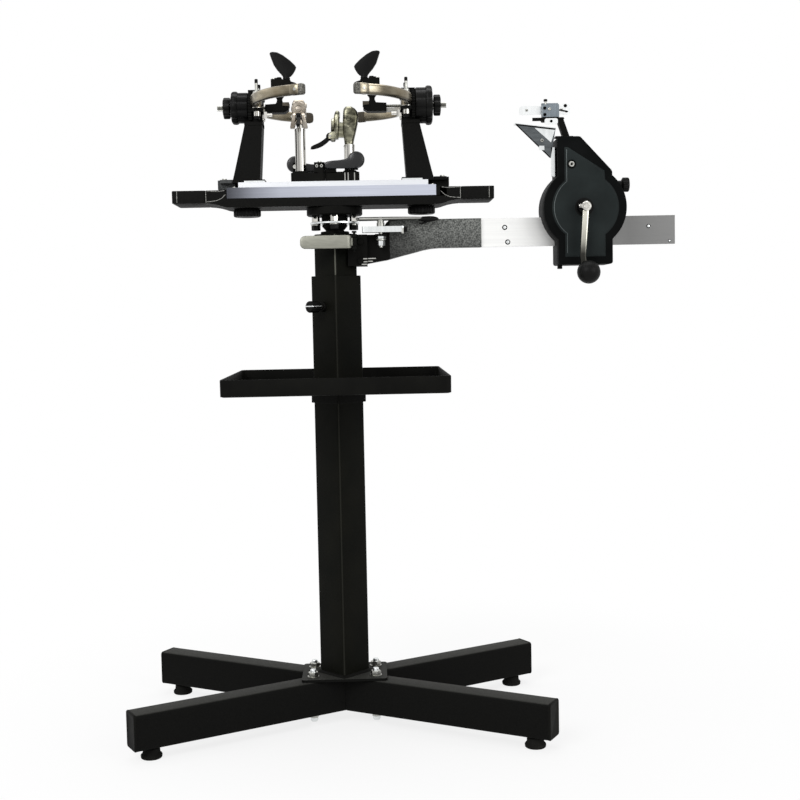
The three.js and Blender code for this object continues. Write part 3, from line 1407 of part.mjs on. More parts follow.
function ballKnob() {
  const middle = crankArmFront - GAP - BALL_DISTANCE;
  const ball = new THREE.SphereGeometry(BALL_RADIUS, BOSS_SIDES, BALL_RINGS).translate(0, middle, 0);
  const flat = block(-BALL_RADIUS, BALL_RADIUS, crankArmFront - GAP, 0, -BALL_RADIUS, BALL_RADIUS);
  const bore = rodY(CRANK_PIN_RADIUS + GAP, crankArmFront - CRANK_PIN_LENGTH - GAP, 0);
  return cut(ball, flat, bore).translate(hubX, 0, ballZ);
}

function settingKnob() {
  const headEnd = SETTING_HEAD_START + SETTING_HEAD_LENGTH;
  const head = rodX(SETTING_HEAD_RADIUS, SETTING_HEAD_START, headEnd, KNOB_SIDES);
  const stem = rodX(SETTING_STEM_RADIUS, HEAD_HALF_WIDTH, SETTING_HEAD_START + GAP);
  return join(head, stem).translate(0, SETTING_Y, settingZ);
}

// Leaning stand on the head's top, with the shelf that the gripper sits on
function gripperStand() {
  const bottom = headTopZ + GAP;
  const back = GRIP_Y + STAND_HALF_DEPTH;
  const front = GRIP_Y - STAND_HALF_DEPTH;
  const bar = prismY(outline([
    [STAND_FOOT_X, bottom],
    [STAND_FOOT_X + STAND_WIDTH, bottom],
    [STAND_TOP_X + STAND_WIDTH, standTopZ],
    [STAND_TOP_X, standTopZ],
  ]), front, back);
  const shelf = block(
    STAND_PLATE_LEFT,
    STAND_TOP_X + STAND_WIDTH,
    front,
    back,
    standTopZ - GAP,
    standTopZ + STAND_PLATE_THICKNESS,
  );
  return join(bar, shelf);
}

function gripperFixed() {
  const bottom = standTopZ + STAND_PLATE_THICKNESS + GAP;
  const front = GRIP_Y + GRIPPER_SPACE / 2;
  const back = front + GRIPPER_PLATE;
  const body = block(GRIPPER_LEFT, GRIPPER_RIGHT, front, back, bottom, gripperTop);
  const wings = block(
    GRIPPER_WING_LEFT,
    GRIPPER_WING_RIGHT,
    front + GRIPPER_PLATE / 2,
    back,
    gripperTop - GRIPPER_WING_DROP,
    gripperTop - GRIPPER_PLATE / 2,
  );
  return join(body, wings);
}

function gripperJaw() {
  const bottom = standTopZ + STAND_PLATE_THICKNESS + GAP;
  const back = GRIP_Y - GRIPPER_SPACE / 2;
  const top = gripperTop - GRIPPER_PLATE / 2;
  return block(GRIPPER_LEFT, GRIPPER_RIGHT, back - GRIPPER_PLATE, back, bottom, top);
}

// String guide: sheet triangle on a strip that runs down the head's side
function stringGuide() {
  const front = GRIP_Y - STAND_HALF_DEPTH - GAP - RAMP_SHEET;
  const triangle = prismY(outline([
    [RAMP_FOOT_X, rampFootZ],
    [RAMP_RIGHT, rampRightZ],
    [RAMP_LEFT, rampLeftZ],
  ]), front, front + RAMP_SHEET);
  const stripRight = -HEAD_HALF_WIDTH - GAP;
  const strip = block(
    stripRight - RAMP_STRIP_WIDTH,
    stripRight,
    front,
    front + RAMP_SHEET,
    rampStripBottom,
    rampFootZ + RAMP_STRIP_WIDTH * 2,
  );
  const tab = block(
    stripRight - RAMP_SHEET,
    stripRight,
    front,
    GRIP_Y + STAND_HALF_DEPTH,
    rampStripBottom,
    rampFootZ + RAMP_STRIP_WIDTH * 2,
  );
  return join(triangle, strip, tab);
}

// Assembly
const machine = new THREE.Group();
const stand = new THREE.Group();
const mast = new THREE.Group();
const turntable = new THREE.Group();
const head = new THREE.Group();
const standColumn = new THREE.Group();
const mastColumn = new THREE.Group();
standColumn.rotation.z = columnTurn;
mastColumn.rotation.z = columnTurn;
head.position.x = headX;
stand.add(standColumn);
mast.add(mastColumn, head);
mast.add(turntable);

addPart(stand, "leg_beam_through", throughBeam(), blackPaint).rotation.z = legTurn;
addPart(stand, "leg_front_right", shortLeg(), blackPaint).rotation.z = -legTurn;
addPart(stand, "leg_rear_left", shortLeg(), blackPaint).rotation.z = Math.PI - legTurn;
addPart(stand, "base_plate", basePlate(), blackPaint);
addPart(stand, "tool_tray", toolTray(), blackPaint);
addPart(standColumn, "outer_column", outerColumn(), blackPaint);
addPart(standColumn, "height_lock_knob", heightLock(), blackPlastic).position.z = lockHeight;

const FOOT_PLACES = {
  foot_front_left: Math.PI + legTurn,
  foot_front_right: -legTurn,
  foot_rear_left: Math.PI - legTurn,
  foot_rear_right: legTurn,
};
for (const [name, turn] of Object.entries(FOOT_PLACES)) {
  const foot = addPart(stand, name, footPad(), rubber);
  foot.position.set(footReach * Math.cos(turn), footReach * Math.sin(turn), 0);
}

addPart(mastColumn, "inner_column", innerColumn(), blackPaint);
addPart(mast, "bearing_head", bearingHead(), blackPaint);
addPart(mast, "tension_arm", tensionArm(), hammered);
addPart(mast, "tension_rail", tensionRail(), aluminium);
addPart(mast, "paddle_lever", paddleLever(), steel);
addPart(mast, "brake_handle", brakeHandle(), steel);

addPart(turntable, "brake_disc", brakeDisc(), steel);
addPart(turntable, "spindle_hub", spindleHub(), blackPaint);
addPart(turntable, "turntable_base", turntableBase(), blackPaint);
addPart(turntable, "turntable_bed", turntableBed(), aluminium);

const TOWERS = [
  { label: "left", side: -1, leafReach: leafReachLeft },
  { label: "right", side: 1, leafReach: leafReachRight },
];
for (const { label, side, leafReach } of TOWERS) {
  const add = (name, geometry, material) => {
    addPart(turntable, label + "_" + name, mirrored(geometry, side), material);
  };
  const rearArm = mirrored(sideArm(), -1).rotateZ(Math.PI);
  add("tower", towerPost(), blackPaint);
  add("table_knob", tableKnob().translate(towerReach, 0, 0), blackPlastic);
  add("tower_head", towerHead(), blackPaint);
  add("front_arm", sideArm(), gold);
  add("rear_arm", rearArm, gold);
  add("drum_knob", drumKnob(), blackPlastic);
  add("star_knob", starKnob(), blackPlastic);
  add("centre_support", centreSupport(leafReach), blackPaint);
  add("hold_down_jaw", holdDownJaw(leafReach), blackPaint);
  add("leaf_knob", leafKnob(leafReach), blackPlastic);
}

const CLAMPS = [
  {
    label: "left",
    postX: CLAMP_POST_LEFT,
    baseTurn: Math.PI,
    headTurn: Math.PI / 2,
    shoulder: clampLeftShoulder,
    headBottom: clampLeftHeadBottom,
    headTop: clampLeftHeadTop,
  },
  {
    label: "right",
    postX: clampPostRight,
    baseTurn: 0,
    headTurn: 0,
    shoulder: clampRightShoulder,
    headBottom: clampRightHeadBottom,
    headTop: clampRightHeadTop,
  },
];
for (const clamp of CLAMPS) {
  const base = new THREE.Group();
  const top = new THREE.Group();
  base.position.x = clamp.postX;
  top.position.x = clamp.postX;
  base.rotation.z = clamp.baseTurn;
  top.rotation.z = clamp.headTurn;
  turntable.add(base, top);
  const { headBottom, headTop } = clamp;
  addPart(base, clamp.label + "_clamp_base", clampBase(), blackPaint);
  addPart(base, clamp.label + "_base_lever", baseLever(), blackPlastic);
  addPart(top, clamp.label + "_clamp_post", clampPost(clamp.shoulder, headBottom, headTop), chrome);
  addPart(top, clamp.label + "_clamp_jaw", clampJaw(headBottom, headTop), gold);
  addPart(top, clamp.label + "_clamp_lever", clampLever(headBottom, headTop), blackPlastic);
}

addPart(head, "rear_housing", rearHousing(), gloss);
addPart(head, "front_cover", frontCover(), gloss);
addPart(head, "crank", crank(), chrome);
addPart(head, "ball_knob", ballKnob(), blackPlastic);
addPart(head, "setting_knob", settingKnob(), blackPlastic);
addPart(head, "gripper_stand", gripperStand(), blackPaint);
addPart(head, "gripper_body", gripperFixed(), steel);
addPart(head, "gripper_jaw", gripperJaw(), steel);
addPart(head, "string_guide", stringGuide(), steel);

// Origin under the middle of the whole machine's box
machine.add(stand, mast);
machine.updateMatrixWorld(true);
const box = new THREE.Box3().setFromObject(machine, true);
machine.position.set(-(box.min.x + box.max.x) / 2, -(box.min.y + box.max.y) / 2, -box.min.z);

export default machine;
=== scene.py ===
import math

import bmesh
import bpy
from mathutils import Matrix, Vector


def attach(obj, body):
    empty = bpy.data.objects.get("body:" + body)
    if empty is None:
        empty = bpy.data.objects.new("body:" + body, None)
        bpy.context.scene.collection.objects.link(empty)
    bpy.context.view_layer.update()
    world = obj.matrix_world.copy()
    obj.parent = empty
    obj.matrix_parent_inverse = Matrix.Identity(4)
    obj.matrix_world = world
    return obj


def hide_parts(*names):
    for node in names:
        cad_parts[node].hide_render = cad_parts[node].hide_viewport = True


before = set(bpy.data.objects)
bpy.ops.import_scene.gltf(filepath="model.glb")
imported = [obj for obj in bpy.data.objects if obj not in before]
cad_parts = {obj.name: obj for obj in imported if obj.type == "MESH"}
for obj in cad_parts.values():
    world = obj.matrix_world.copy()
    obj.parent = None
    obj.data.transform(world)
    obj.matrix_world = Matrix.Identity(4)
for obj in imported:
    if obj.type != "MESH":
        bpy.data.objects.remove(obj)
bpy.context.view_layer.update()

MM = 0.001
COLUMN_X = -0.130316
TO_ROW = Matrix.Translation((COLUMN_X, 0, 0)) @ Matrix.Scale(MM, 4)
SHARP = math.radians(32)
TURN = 2 * math.pi


# Materials. A mix node has one set of sockets for each kind of data, and these are the places of the colours.
MIX_A, MIX_B, MIX_RESULT = 6, 7, 2
COAT_ROUGHNESS = 0.1


def shade(values):
    """Linear colour from three display values of 0 to 255."""
    return tuple((c / 255 / 12.92 if c <= 10 else ((c / 255 + 0.055) / 1.055) ** 2.4) for c in values) + (1,)


def feed(node, inputs):
    """Links or sets a node's inputs, which are given by name or by place."""
    for key, value in inputs.items():
        if isinstance(value, bpy.types.NodeSocket):
            node.id_data.links.new(value, node.inputs[key])
        else:
            node.inputs[key].default_value = value
    return node


def new_node(tree, kind, inputs=(), **settings):
    """A new shader node with its settings and inputs."""
    node = tree.nodes.new("ShaderNode" + kind)
    for name, value in settings.items():
        setattr(node, name, value)
    return feed(node, dict(inputs))


class Look:
    """A material being put together from nodes."""

    def __init__(self, name, metallic=0.0, specular=0.5, coat=0.0):
        self.material = bpy.data.materials.new(name)
        self.material.use_nodes = True
        self.tree = self.material.node_tree
        self.shader = self.tree.nodes["Principled BSDF"]
        finish = {"Metallic": metallic, "Specular IOR Level": specular, "Coat Weight": coat}
        feed(self.shader, {**finish, "Coat Roughness": COAT_ROUGHNESS})
        self.place = self.node("TexCoord").outputs["Object"]
        self.height = None

    def node(self, kind, **inputs):
        return new_node(self.tree, kind, {name.replace("_", " "): value for name, value in inputs.items()})

    def noise(self, scale, detail, stretch=None, distortion=0.0):
        where = self.place
        if stretch:
            where = self.node("Mapping", Vector=where, Scale=stretch).outputs["Vector"]
        node = self.node("TexNoise", Vector=where, Scale=scale, Detail=detail, Distortion=distortion)
        return node.outputs["Fac"]

    def cells(self, scale):
        inputs = {"Vector": self.place, "Scale": scale, "Smoothness": 1.0}
        return new_node(self.tree, "TexVoronoi", inputs, feature="SMOOTH_F1").outputs["Distance"]

    def ramp(self, factor, stops):
        node = self.node("ValToRGB", Fac=factor)
        elements = node.color_ramp.elements
        while len(elements) < len(stops):
            elements.new(0.5)
        for element, (position, colour) in zip(elements, stops):
            element.position = position
            element.color = colour if isinstance(colour, tuple) else (colour, colour, colour, 1)
        return node.outputs["Color"]

    def mix(self, factor, a, b, blend="MIX"):
        inputs = {"Factor": factor, MIX_A: a, MIX_B: b}
        return new_node(self.tree, "Mix", inputs, data_type="RGBA", blend_type=blend).outputs[MIX_RESULT]

    def mapped(self, value, **limits):
        """A value carried from one range to another."""
        return self.node("MapRange", Value=value, **limits).outputs["Result"]

    def colour(self, socket):
        feed(self.shader, {"Base Color": socket})

    def roughness(self, factor, low, high):
        feed(self.shader, {"Roughness": self.mapped(factor, To_Min=low, To_Max=high)})

    def bump(self, height, strength, distance):
        node = self.node("Bump", Height=height, Strength=strength, Distance=distance)
        if self.height:
            feed(node, {"Normal": self.height})
        self.height = node.outputs["Normal"]
        feed(self.shader, {"Normal": self.height})

    def facing(self, axis, stops):
        """Painted light and shade: tone by the way the surface faces along one axis of the object, from -1 to 1."""
        part = self.node("SeparateXYZ", Vector=self.node("TexCoord").outputs["Normal"]).outputs[axis]
        return self.ramp(self.mapped(part, From_Min=-1.0), stops)

    def along(self, axis, start, end, stops):
        """Painted shade: tone by the place along one axis, in millimetres from the column."""
        part = self.node("SeparateXYZ", Vector=self.place).outputs[axis]
        offset = COLUMN_X if axis == "X" else 0
        return self.ramp(self.mapped(part, From_Min=start * MM + offset, From_Max=end * MM + offset), stops)

    def shaded(self, tone, shading):
        """The tone darkened by painted light and shade: by the way a surface faces or by its place."""
        for kind, *rest in shading:
            factor = self.facing(*rest) if kind == "facing" else self.along(*rest)
            tone = self.mix(1.0, tone, factor, "MULTIPLY")
        return tone


def coated(name, dark, light, rough, grain=900, specular=0.035, coat=0.0, line=None):
    """Paint or plastic: a slow change of tone and fine grain. line is the tone of a painted highlight on the edge
    that faces the front.
    """
    look = Look(name, specular=specular, coat=coat)
    tone = look.mix(look.ramp(look.noise(14, 4), [(0.35, 0.0), (0.7, 1.0)]), shade(dark), shade(light))
    # Painted highlight: a lighter line where the surface faces the front.
    if line:
        front = look.facing("Y", [(0.0, 1.0), (0.006, 0.7), (0.02, 0.0)])
        tone = look.mix(front, tone, shade(line))
    look.colour(tone)
    look.roughness(look.noise(60, 4), *rough)
    look.bump(look.noise(grain, 2), 0.3, 0.0002)
    return look.material


def brushed(name, dark, light, rough, along=(6, 500, 500), tint=None, strength=0.12, shading=(), patches=None):
    """Metal with fine lines one way. tint clouds it, patches darken it in spots of painted reflection, and shading
    darkens it by way or place as painted light and shade.
    """
    look = Look(name, metallic=1.0)
    lines = look.noise(1.0, 3, stretch=along)
    tone = look.mix(lines, shade(dark), shade(light))
    if tint:
        tone = look.mix(look.ramp(look.noise(18, 3), [(0.4, 0.0), (0.75, 1.0)]), tone, shade(tint))
    # Painted reflections: darker spots, as on polished metal that mirrors its surroundings.
    if patches:
        scale, low = patches
        spots = look.noise(scale, 4, stretch=(0.5, 0.5, 1.2), distortion=1.2)
        tone = look.mix(1.0, tone, look.ramp(spots, [(0.36, low), (0.5, (1.0 + low) / 2), (0.6, 1.0)]), "MULTIPLY")
    look.colour(look.shaded(tone, shading))
    look.roughness(lines, *rough)
    look.bump(lines, strength, 0.0001)
    return look.material


def cast(name, dark, light, rough, scale, strength, metallic=0.0, specular=0.15, share=(0.3, 0.75), shading=()):
    """Cast or hammered skin: soft round dimples in the coat. shading darkens it by way or place, as painted light
    and shade.
    """
    look = Look(name, metallic=metallic, specular=specular)
    pits = look.cells(scale)
    spread = look.ramp(look.noise(scale * 0.7, 4), [(share[0], 0.0), (share[1], 1.0)])
    look.colour(look.shaded(look.mix(spread, shade(dark), shade(light)), shading))
    look.roughness(look.noise(scale * 0.5, 3), *rough)
    look.bump(look.noise(scale * 1.3, 3, distortion=0.4), strength * 0.6, 0.0006)
    look.bump(pits, strength, 0.0008)
    return look.material


# Painted light and shade by the way a surface faces: painted highlight above, painted shade below, with soft
# painted reflection bands round upright bars. The tones by place after them are painted shade.
TOP_PAINTED_LIGHT = ("facing", "Z", [(0.0, 0.3), (0.35, 0.62), (0.5, 0.86), (0.62, 1.0), (1.0, 1.0)])
SIDE_PAINTED_BANDS = ("facing", "X", [(0.0, 0.55), (0.14, 1.0), (0.3, 0.42), (0.5, 0.95), (0.64, 1.0), (0.78, 0.5), (1.0, 0.8)])
POST_PAINTED_REFLECTIONS = (
    "facing", "X",
    [
        (0.02, 0.3), (0.1, 0.9), (0.2, 1.0), (0.32, 0.34), (0.42, 0.5), (0.52, 1.0), (0.66, 0.9), (0.8, 0.32),
        (0.9, 0.7)
    ]
)
# Painted shade: the rail bright at its left end and darker towards its right end.
RAIL_PAINTED_SHADE = ("along", "X", 280, 652, [(0.0, 1.0), (0.3, 0.9), (0.5, 0.6), (0.66, 0.25), (0.76, 0.2), (1.0, 0.22)])
# Painted shade: the hammered arm darker towards its left end and its bottom.
ARM_PAINTED_SHADE = (
    ("along", "X", 72, 279, [(0.0, 0.2), (0.2, 0.42), (0.5, 0.85), (1.0, 1.0)]),
    ("along", "Z", 881, 967, [(0.0, 0.35), (0.35, 0.5), (0.75, 0.9), (1.0, 1.0)])
)
# Painted shade: the crank arm darker towards its bottom.
CRANK_PAINTED_SHADE = (
    "along", "Z", 862, 985, [(0.0, 0.03), (0.26, 0.05), (0.35, 0.22), (0.48, 0.6), (0.72, 0.92), (1.0, 1.0)]
)
# Painted light: tops lighter than the sides.
LEG_PAINTED_TOP_LIGHT = ("facing", "Z", [(0.0, 0.14), (0.8, 0.14), (0.96, 1.0)])
# Painted shade: the bed's slab darker towards its left end.
BED_PAINTED_SHADE = (
    "along", "X", -195, 195, [(0.0, 0.12), (0.05, 0.22), (0.12, 0.44), (0.25, 0.74), (0.6, 0.95), (1.0, 1.0)]
)

BLACK = coated("black_powder_coat", (12, 12, 11), (19, 19, 17), (0.46, 0.6))
# Painted light: the tops of the legs and foot plate lighter than their sides.
LEG_COAT = cast("leg_coat", (44, 44, 42), (62, 62, 59), (0.5, 0.65), 800, 0.25, specular=0.04, shading=(LEG_PAINTED_TOP_LIGHT,))
# Painted highlight: both column coats have a lighter line down the corner that faces the front, brighter on the
# mast.
COLUMN_BLACK = coated("black_column_coat", (12, 13, 10), (18, 18, 14), (0.44, 0.56), line=(36, 36, 32))
MAST_BLACK = coated("black_mast_coat", (12, 13, 10), (18, 18, 14), (0.44, 0.56), line=(92, 92, 84))
CASTING = cast("black_casting", (12, 12, 12), (21, 21, 19), (0.45, 0.65), 900, 0.3, specular=0.04)
# A lighter grey for the left tower's blocks; the same blocks on the right tower are black casting.
LEFT_GREY_BLOCK = cast("left_grey_block_casting", (40, 42, 42), (96, 98, 98), (0.5, 0.75), 700, 0.6)
# Painted highlight: lines along the chamfered edges of the turntable's wings.
EDGE_PAINTED_HIGHLIGHT = cast("painted_edge_highlight", (80, 80, 78), (180, 180, 174), (0.4, 0.6), 500, 0.3)
# Painted shade: the hammered arm is darker towards its left end and its bottom.
HAMMERED = cast(
    "hammered_grey", (60, 62, 60), (144, 146, 142), (0.34, 0.5), 520, 0.7, 0.3, 0.3, (0.36, 0.72), ARM_PAINTED_SHADE
)
PLASTIC = coated("black_plastic", (10, 10, 10), (17, 17, 16), (0.36, 0.5), grain=1600, specular=0.09)
CAP_PLASTIC = coated("leg_cap_plastic", (14, 14, 13), (24, 24, 22), (0.5, 0.65), grain=1200)
GLOSS = coated("housing_plastic", (12, 13, 13), (19, 20, 20), (0.34, 0.46), grain=1400, specular=0.004)
PANEL = coated("panel_plastic", (30, 34, 34), (39, 44, 44), (0.4, 0.52), grain=1600)
# Painted highlight: the light line round the panel's left edge.
PANEL_EDGE_PAINTED_HIGHLIGHT = coated("panel_edge_painted_highlight", (78, 84, 84), (120, 126, 126), (0.3, 0.42), grain=1600)
LEVER = coated("lever_plastic", (12, 12, 12), (30, 30, 31), (0.2, 0.32), grain=1500, specular=0.3, coat=0.1)
RUBBER = coated("foot_rubber", (18, 18, 17), (38, 38, 36), (0.75, 0.92), grain=700)
PAD = coated("pad_rubber", (66, 62, 54), (104, 98, 88), (0.6, 0.8), grain=700)
# Near black: small dark screws and lines, and painted shade in screw sockets and holes.
DARK_PARTS_AND_SHADE = coated("dark_parts_and_recess_shade", (4, 4, 4), (9, 9, 9), (0.7, 0.9))
# Painted shade: the bed's slab darker towards its left end; the slab and rails also take the painted top light.
BED = brushed("bed_aluminium", (186, 190, 204), (214, 218, 230), (0.34, 0.46), shading=(BED_PAINTED_SHADE, TOP_PAINTED_LIGHT))
BED_RAIL = brushed("bed_rail_aluminium", (220, 222, 226), (240, 242, 245), (0.34, 0.46), shading=(TOP_PAINTED_LIGHT,))
# Painted shade: the rail darker towards its right end.
RAIL = brushed("rail_aluminium", (226, 226, 225), (241, 241, 239), (0.36, 0.5), shading=(RAIL_PAINTED_SHADE,))
# Painted light: the steel takes the painted top light, the zinc painted side bands, the chrome painted reflection
# bands.
STEEL = brushed("brushed_steel", (150, 150, 146), (196, 196, 190), (0.3, 0.42), shading=(TOP_PAINTED_LIGHT,))
PADDLE = brushed("paddle_steel", (124, 124, 115), (154, 154, 144), (0.42, 0.56), along=(60, 60, 300))
ZINC = brushed("zinc_bolts", (140, 140, 134), (220, 220, 214), (0.22, 0.4), (90, 90, 300), shading=(SIDE_PAINTED_BANDS,))
CHROME = brushed("chrome", (205, 203, 196), (236, 234, 228), (0.08, 0.16), (500, 500, 8), None, 0.04, (POST_PAINTED_REFLECTIONS,))
# The champagne arms take the painted top light, painted side bands and spots of painted reflection.
GOLD = brushed(
    "champagne_nickel", (190, 178, 150), (244, 234, 210), (0.2, 0.34), (60, 60, 400), (158, 142, 112), 0.08,
    (TOP_PAINTED_LIGHT, SIDE_PAINTED_BANDS), (22, 0.42)
)
# The two clamp heads are one part in two tones: this darker olive copy is painted shade, the lighter copy below is
# painted light. Both take painted top light and spots of painted reflection; the darker one also painted side
# bands.
CLAMP_SHADED_COPY = brushed(
    "clamp_casting_shaded_copy", (128, 126, 100), (226, 224, 200), (0.2, 0.36), (80, 80, 200), (92, 88, 64), 0.12,
    (TOP_PAINTED_LIGHT, SIDE_PAINTED_BANDS), (48, 0.2)
)
CLAMP_LIT_COPY = brushed(
    "clamp_nickel_lit_copy", (206, 196, 180), (246, 238, 226), (0.2, 0.34), (80, 80, 200), (178, 162, 142), 0.08, (TOP_PAINTED_LIGHT,),
    (40, 0.62)
)
# Painted shade: the crank arm darker towards its bottom.
CRANK = brushed(
    "crank_chrome", (206, 204, 190), (236, 234, 222), (0.12, 0.22), (500, 500, 8), None, 0.04, (CRANK_PAINTED_SHADE,)
)
GRIPPER = brushed("gripper_steel", (96, 104, 110), (136, 144, 150), (0.34, 0.5), along=(300, 300, 30))
SHEET = brushed("guide_sheet", (58, 62, 64), (104, 108, 110), (0.35, 0.55), along=(40, 200, 200))
ARM_CAP = cast("arm_end_cap", (34, 34, 32), (120, 118, 110), (0.3, 0.5), 500, 0.3, 0.3, 0.3)
BRIGHT = brushed("bright_sheet", (206, 210, 210), (238, 240, 240), (0.2, 0.32), along=(200, 200, 30))
PALE = brushed("pale_steel", (228, 230, 230), (246, 248, 248), (0.2, 0.32), along=(200, 200, 30))


# Outlines
def rounded(width, height, radius, steps, centre=(0, 0)):
    """A rectangle with round corners, as points in a row."""
    points = []
    for k, (sx, sy) in enumerate(((1, -1), (1, 1), (-1, 1), (-1, -1))):
        for i in range(steps + 1):
            a = -math.pi / 2 + k * math.pi / 2 + i * math.pi / 2 / steps
            x = sx * (width / 2 - radius) + radius * math.cos(a)
            y = sy * (height / 2 - radius) + radius * math.sin(a)
            points.append((centre[0] + x, centre[1] + y))
    return points


def lobed(radius, depth, count, steps, power):
    """A round with hollows in its edge."""
    points = []
    for i in range(count * steps):
        a = TURN * i / (count * steps)
        dip = ((1 - math.cos(count * a)) / 2) ** power
        points.append(((radius - depth * dip) * math.cos(a), (radius - depth * dip) * math.sin(a)))
    return points


def scaled(points, factor, centre=(0, 0)):
    """An outline made larger or smaller about a centre."""
    return [(centre[0] + (x - centre[0]) * factor, centre[1] + (y - centre[1]) * factor) for x, y in points]


def shrunk(points, margin):
    """An outline moved inwards along its own normals, for gentle shapes only."""
    n = len(points)
    result = []
    for i in range(n):
        (ax, ay), (bx, by), (cx, cy) = points[i - 1], points[i], points[(i + 1) % n]
        n1 = Vector((by - ay, ax - bx)).normalized()
        n2 = Vector((cy - by, bx - cx)).normalized()
        middle = n1 + n2
        length = max(middle.length_squared / 2, 0.3)
        result.append((bx - middle.x * margin / length, by - middle.y * margin / length))
    return result


def placed(point, along, axis):
    """A point of an outline drawn across an axis. Along Y an outline is x and z, and along X it is y and z."""
    u, v = point
    if axis == "z":
        return Vector((u, v, along))
    if axis == "y":
        return Vector((u, along, v))
    return Vector((along, u, v))


class Sketch:
    """Closed shapes that make up one piece, in millimetres."""

    def __init__(self, matrix=None, label=""):
        self.label = label
        self.mesh = bmesh.new()
        self.materials = []
        self.matrix = matrix or Matrix.Identity(4)

    def loft(self, rings, material, bevel=0.0, close=False, segments=2, move=None):
        part = bmesh.new()
        rows = [[part.verts.new(point) for point in ring] for ring in rings]
        count = len(rows[0])
        pairs = list(zip(rows, rows[1:]))
        if close:
            pairs.append((rows[-1], rows[0]))
        for a, b in pairs:
            for i in range(count):
                j = (i + 1) % count
                part.faces.new((a[i], a[j], b[j], b[i]))
        if not close:
            part.faces.new(rows[0][::-1])
            part.faces.new(rows[-1])
        if bevel:
            edges = [e for e in part.edges if e.calc_face_angle(0) > SHARP]
            bmesh.ops.bevel(
                part, geom=edges, offset=bevel, segments=segments, profile=0.5, affect="EDGES", clamp_overlap=True
            )
        if material not in self.materials:
            self.materials.append(material)
        for face in part.faces:
            face.material_index = self.materials.index(material)
            face.smooth = True
        bmesh.ops.recalc_face_normals(part, faces=part.faces)
        matrix = self.matrix @ (move or Matrix.Identity(4))
        part.transform(matrix)
        if matrix.determinant() < 0:
            bmesh.ops.reverse_faces(part, faces=part.faces)
        holder = bpy.data.meshes.new("part")
        part.to_mesh(holder)
        part.free()
        self.mesh.from_mesh(holder)
        bpy.data.meshes.remove(holder)

    def box(self, x0, x1, y0, y1, z0, z1, material, bevel=0.6, **more):
        ring = [(x0, y0), (x1, y0), (x1, y1), (x0, y1)]
        self.prism(ring, "z", z0, z1, material, bevel, **more)

    def prism(self, points, axis, start, end, material, bevel=0.6, **more):
        rings = [[placed(p, along, axis) for p in points] for along in (start, end)]
        self.loft(rings, material, bevel, **more)

    def stack(self, levels, material, **more):
        """An upright shape from levels of height, start and end in X, half depth and corner radius."""
        rings = []
        for z, x0, x1, half, radius in levels:
            outline = rounded(x1 - x0, 2 * half, radius, 4, ((x0 + x1) / 2, 0))
            rings.append([placed(p, z, "z") for p in outline])
        self.loft(rings, material, **more)

    def levels(self, rings, material, steps=6, centre=(0, 0), **more):
        """An upright shape from levels of width, depth, corner radius and height."""
        outlines = [[placed(p, z, "z") for p in rounded(w, d, r, steps, centre)] for w, d, r, z in rings]
        self.loft(outlines, material, **more)

    def square(self, rings, radius, material, steps=6, **more):
        """A square upright shape from pairs of half width and height."""
        self.levels([(2 * h, 2 * h, radius, z) for h, z in rings], material, steps, **more)

    def bar(self, rings, radius, steps, material, **more):
        """A bar along X from rings of place, width and height."""
        self.loft([[(x, u, v) for u, v in rounded(w, h, radius, steps)] for x, w, h in rings], material, **more)

    def lobes(self, outline, levels, at):
        """A lobed knob along X from pairs of scale and place."""
        rings = [[placed(p, x, "x") + Vector(at) for p in scaled(outline, f)] for f, x in levels]
        self.loft(rings, PLASTIC)

    def drawn(self, outline, profile, material):
        """An outline that takes a margin, drawn along Y through pairs of depth and margin."""
        self.loft([[placed(p, y, "y") for p in outline(margin)] for y, margin in profile], material)

    def turn(self, profile, material, at=(0, 0, 0), axis="z", sides=36, wave=None, **more):
        """A turned shape from pairs of radius and height along the axis. wave changes the radius with the angle."""
        rings = []
        for k, (radius, height) in enumerate(profile):
            ring = []
            for i in range(sides):
                a = TURN * i / sides
                r = max(radius * (wave(a, k) if wave else 1), 0.02)
                ring.append(placed((r * math.cos(a), r * math.sin(a)), height, axis) + Vector(at))
            rings.append(ring)
        self.loft(rings, material, **more)

    def tube(self, path, radius, material, sides=14, **more):
        """A round bar along a path; radius is one number or one for each point."""
        points = [Vector(p) for p in path]
        radii = radius if isinstance(radius, (list, tuple)) else [radius] * len(points)
        rings = []
        side = None
        for i, point in enumerate(points):
            before, after = points[max(i - 1, 0)], points[min(i + 1, len(points) - 1)]
            along = (after - before).normalized()
            if side is None:
                side = along.orthogonal().normalized()
            side = (side - along * side.dot(along)).normalized()
            other = along.cross(side)
            rings.append(
                [
                    point + (side * math.cos(TURN * k / sides) + other * math.sin(TURN * k / sides)) * radii[i]
                    for k in range(sides)
                ]
            )
        self.loft(rings, material, **more)

    def hexagon(self, shapes, material, at=(0, 0, 0), axis="z", start=0.0, **more):
        """A hexagonal shape from pairs of radius and height."""
        corners = [(math.cos(start + TURN * i / 6), math.sin(start + TURN * i / 6)) for i in range(6)]
        rings = [[placed((r * x, r * y), h, axis) + Vector(at) for x, y in corners] for r, h in shapes]
        self.loft(rings, material, **more)

    def nut(self, at, axis, across, height, material):
        """A hexagon with chamfered ends."""
        r = across / math.sqrt(3)
        shapes = [(r * 0.9, 0), (r, height * 0.14), (r, height * 0.86), (r * 0.9, height)]
        self.hexagon(shapes, material, at, axis)

    def screw(self, at, axis, radius, height, sign=1):
        """A cap screw's head with its socket."""
        h = height * sign
        self.turn(
            [
                (radius, 0), (radius, h * 0.75), (radius * 0.86, h), (radius * 0.55, h), (radius * 0.5, h * 0.35),
                (0, h * 0.35)
            ],
            ZINC, at, axis, 24
        )
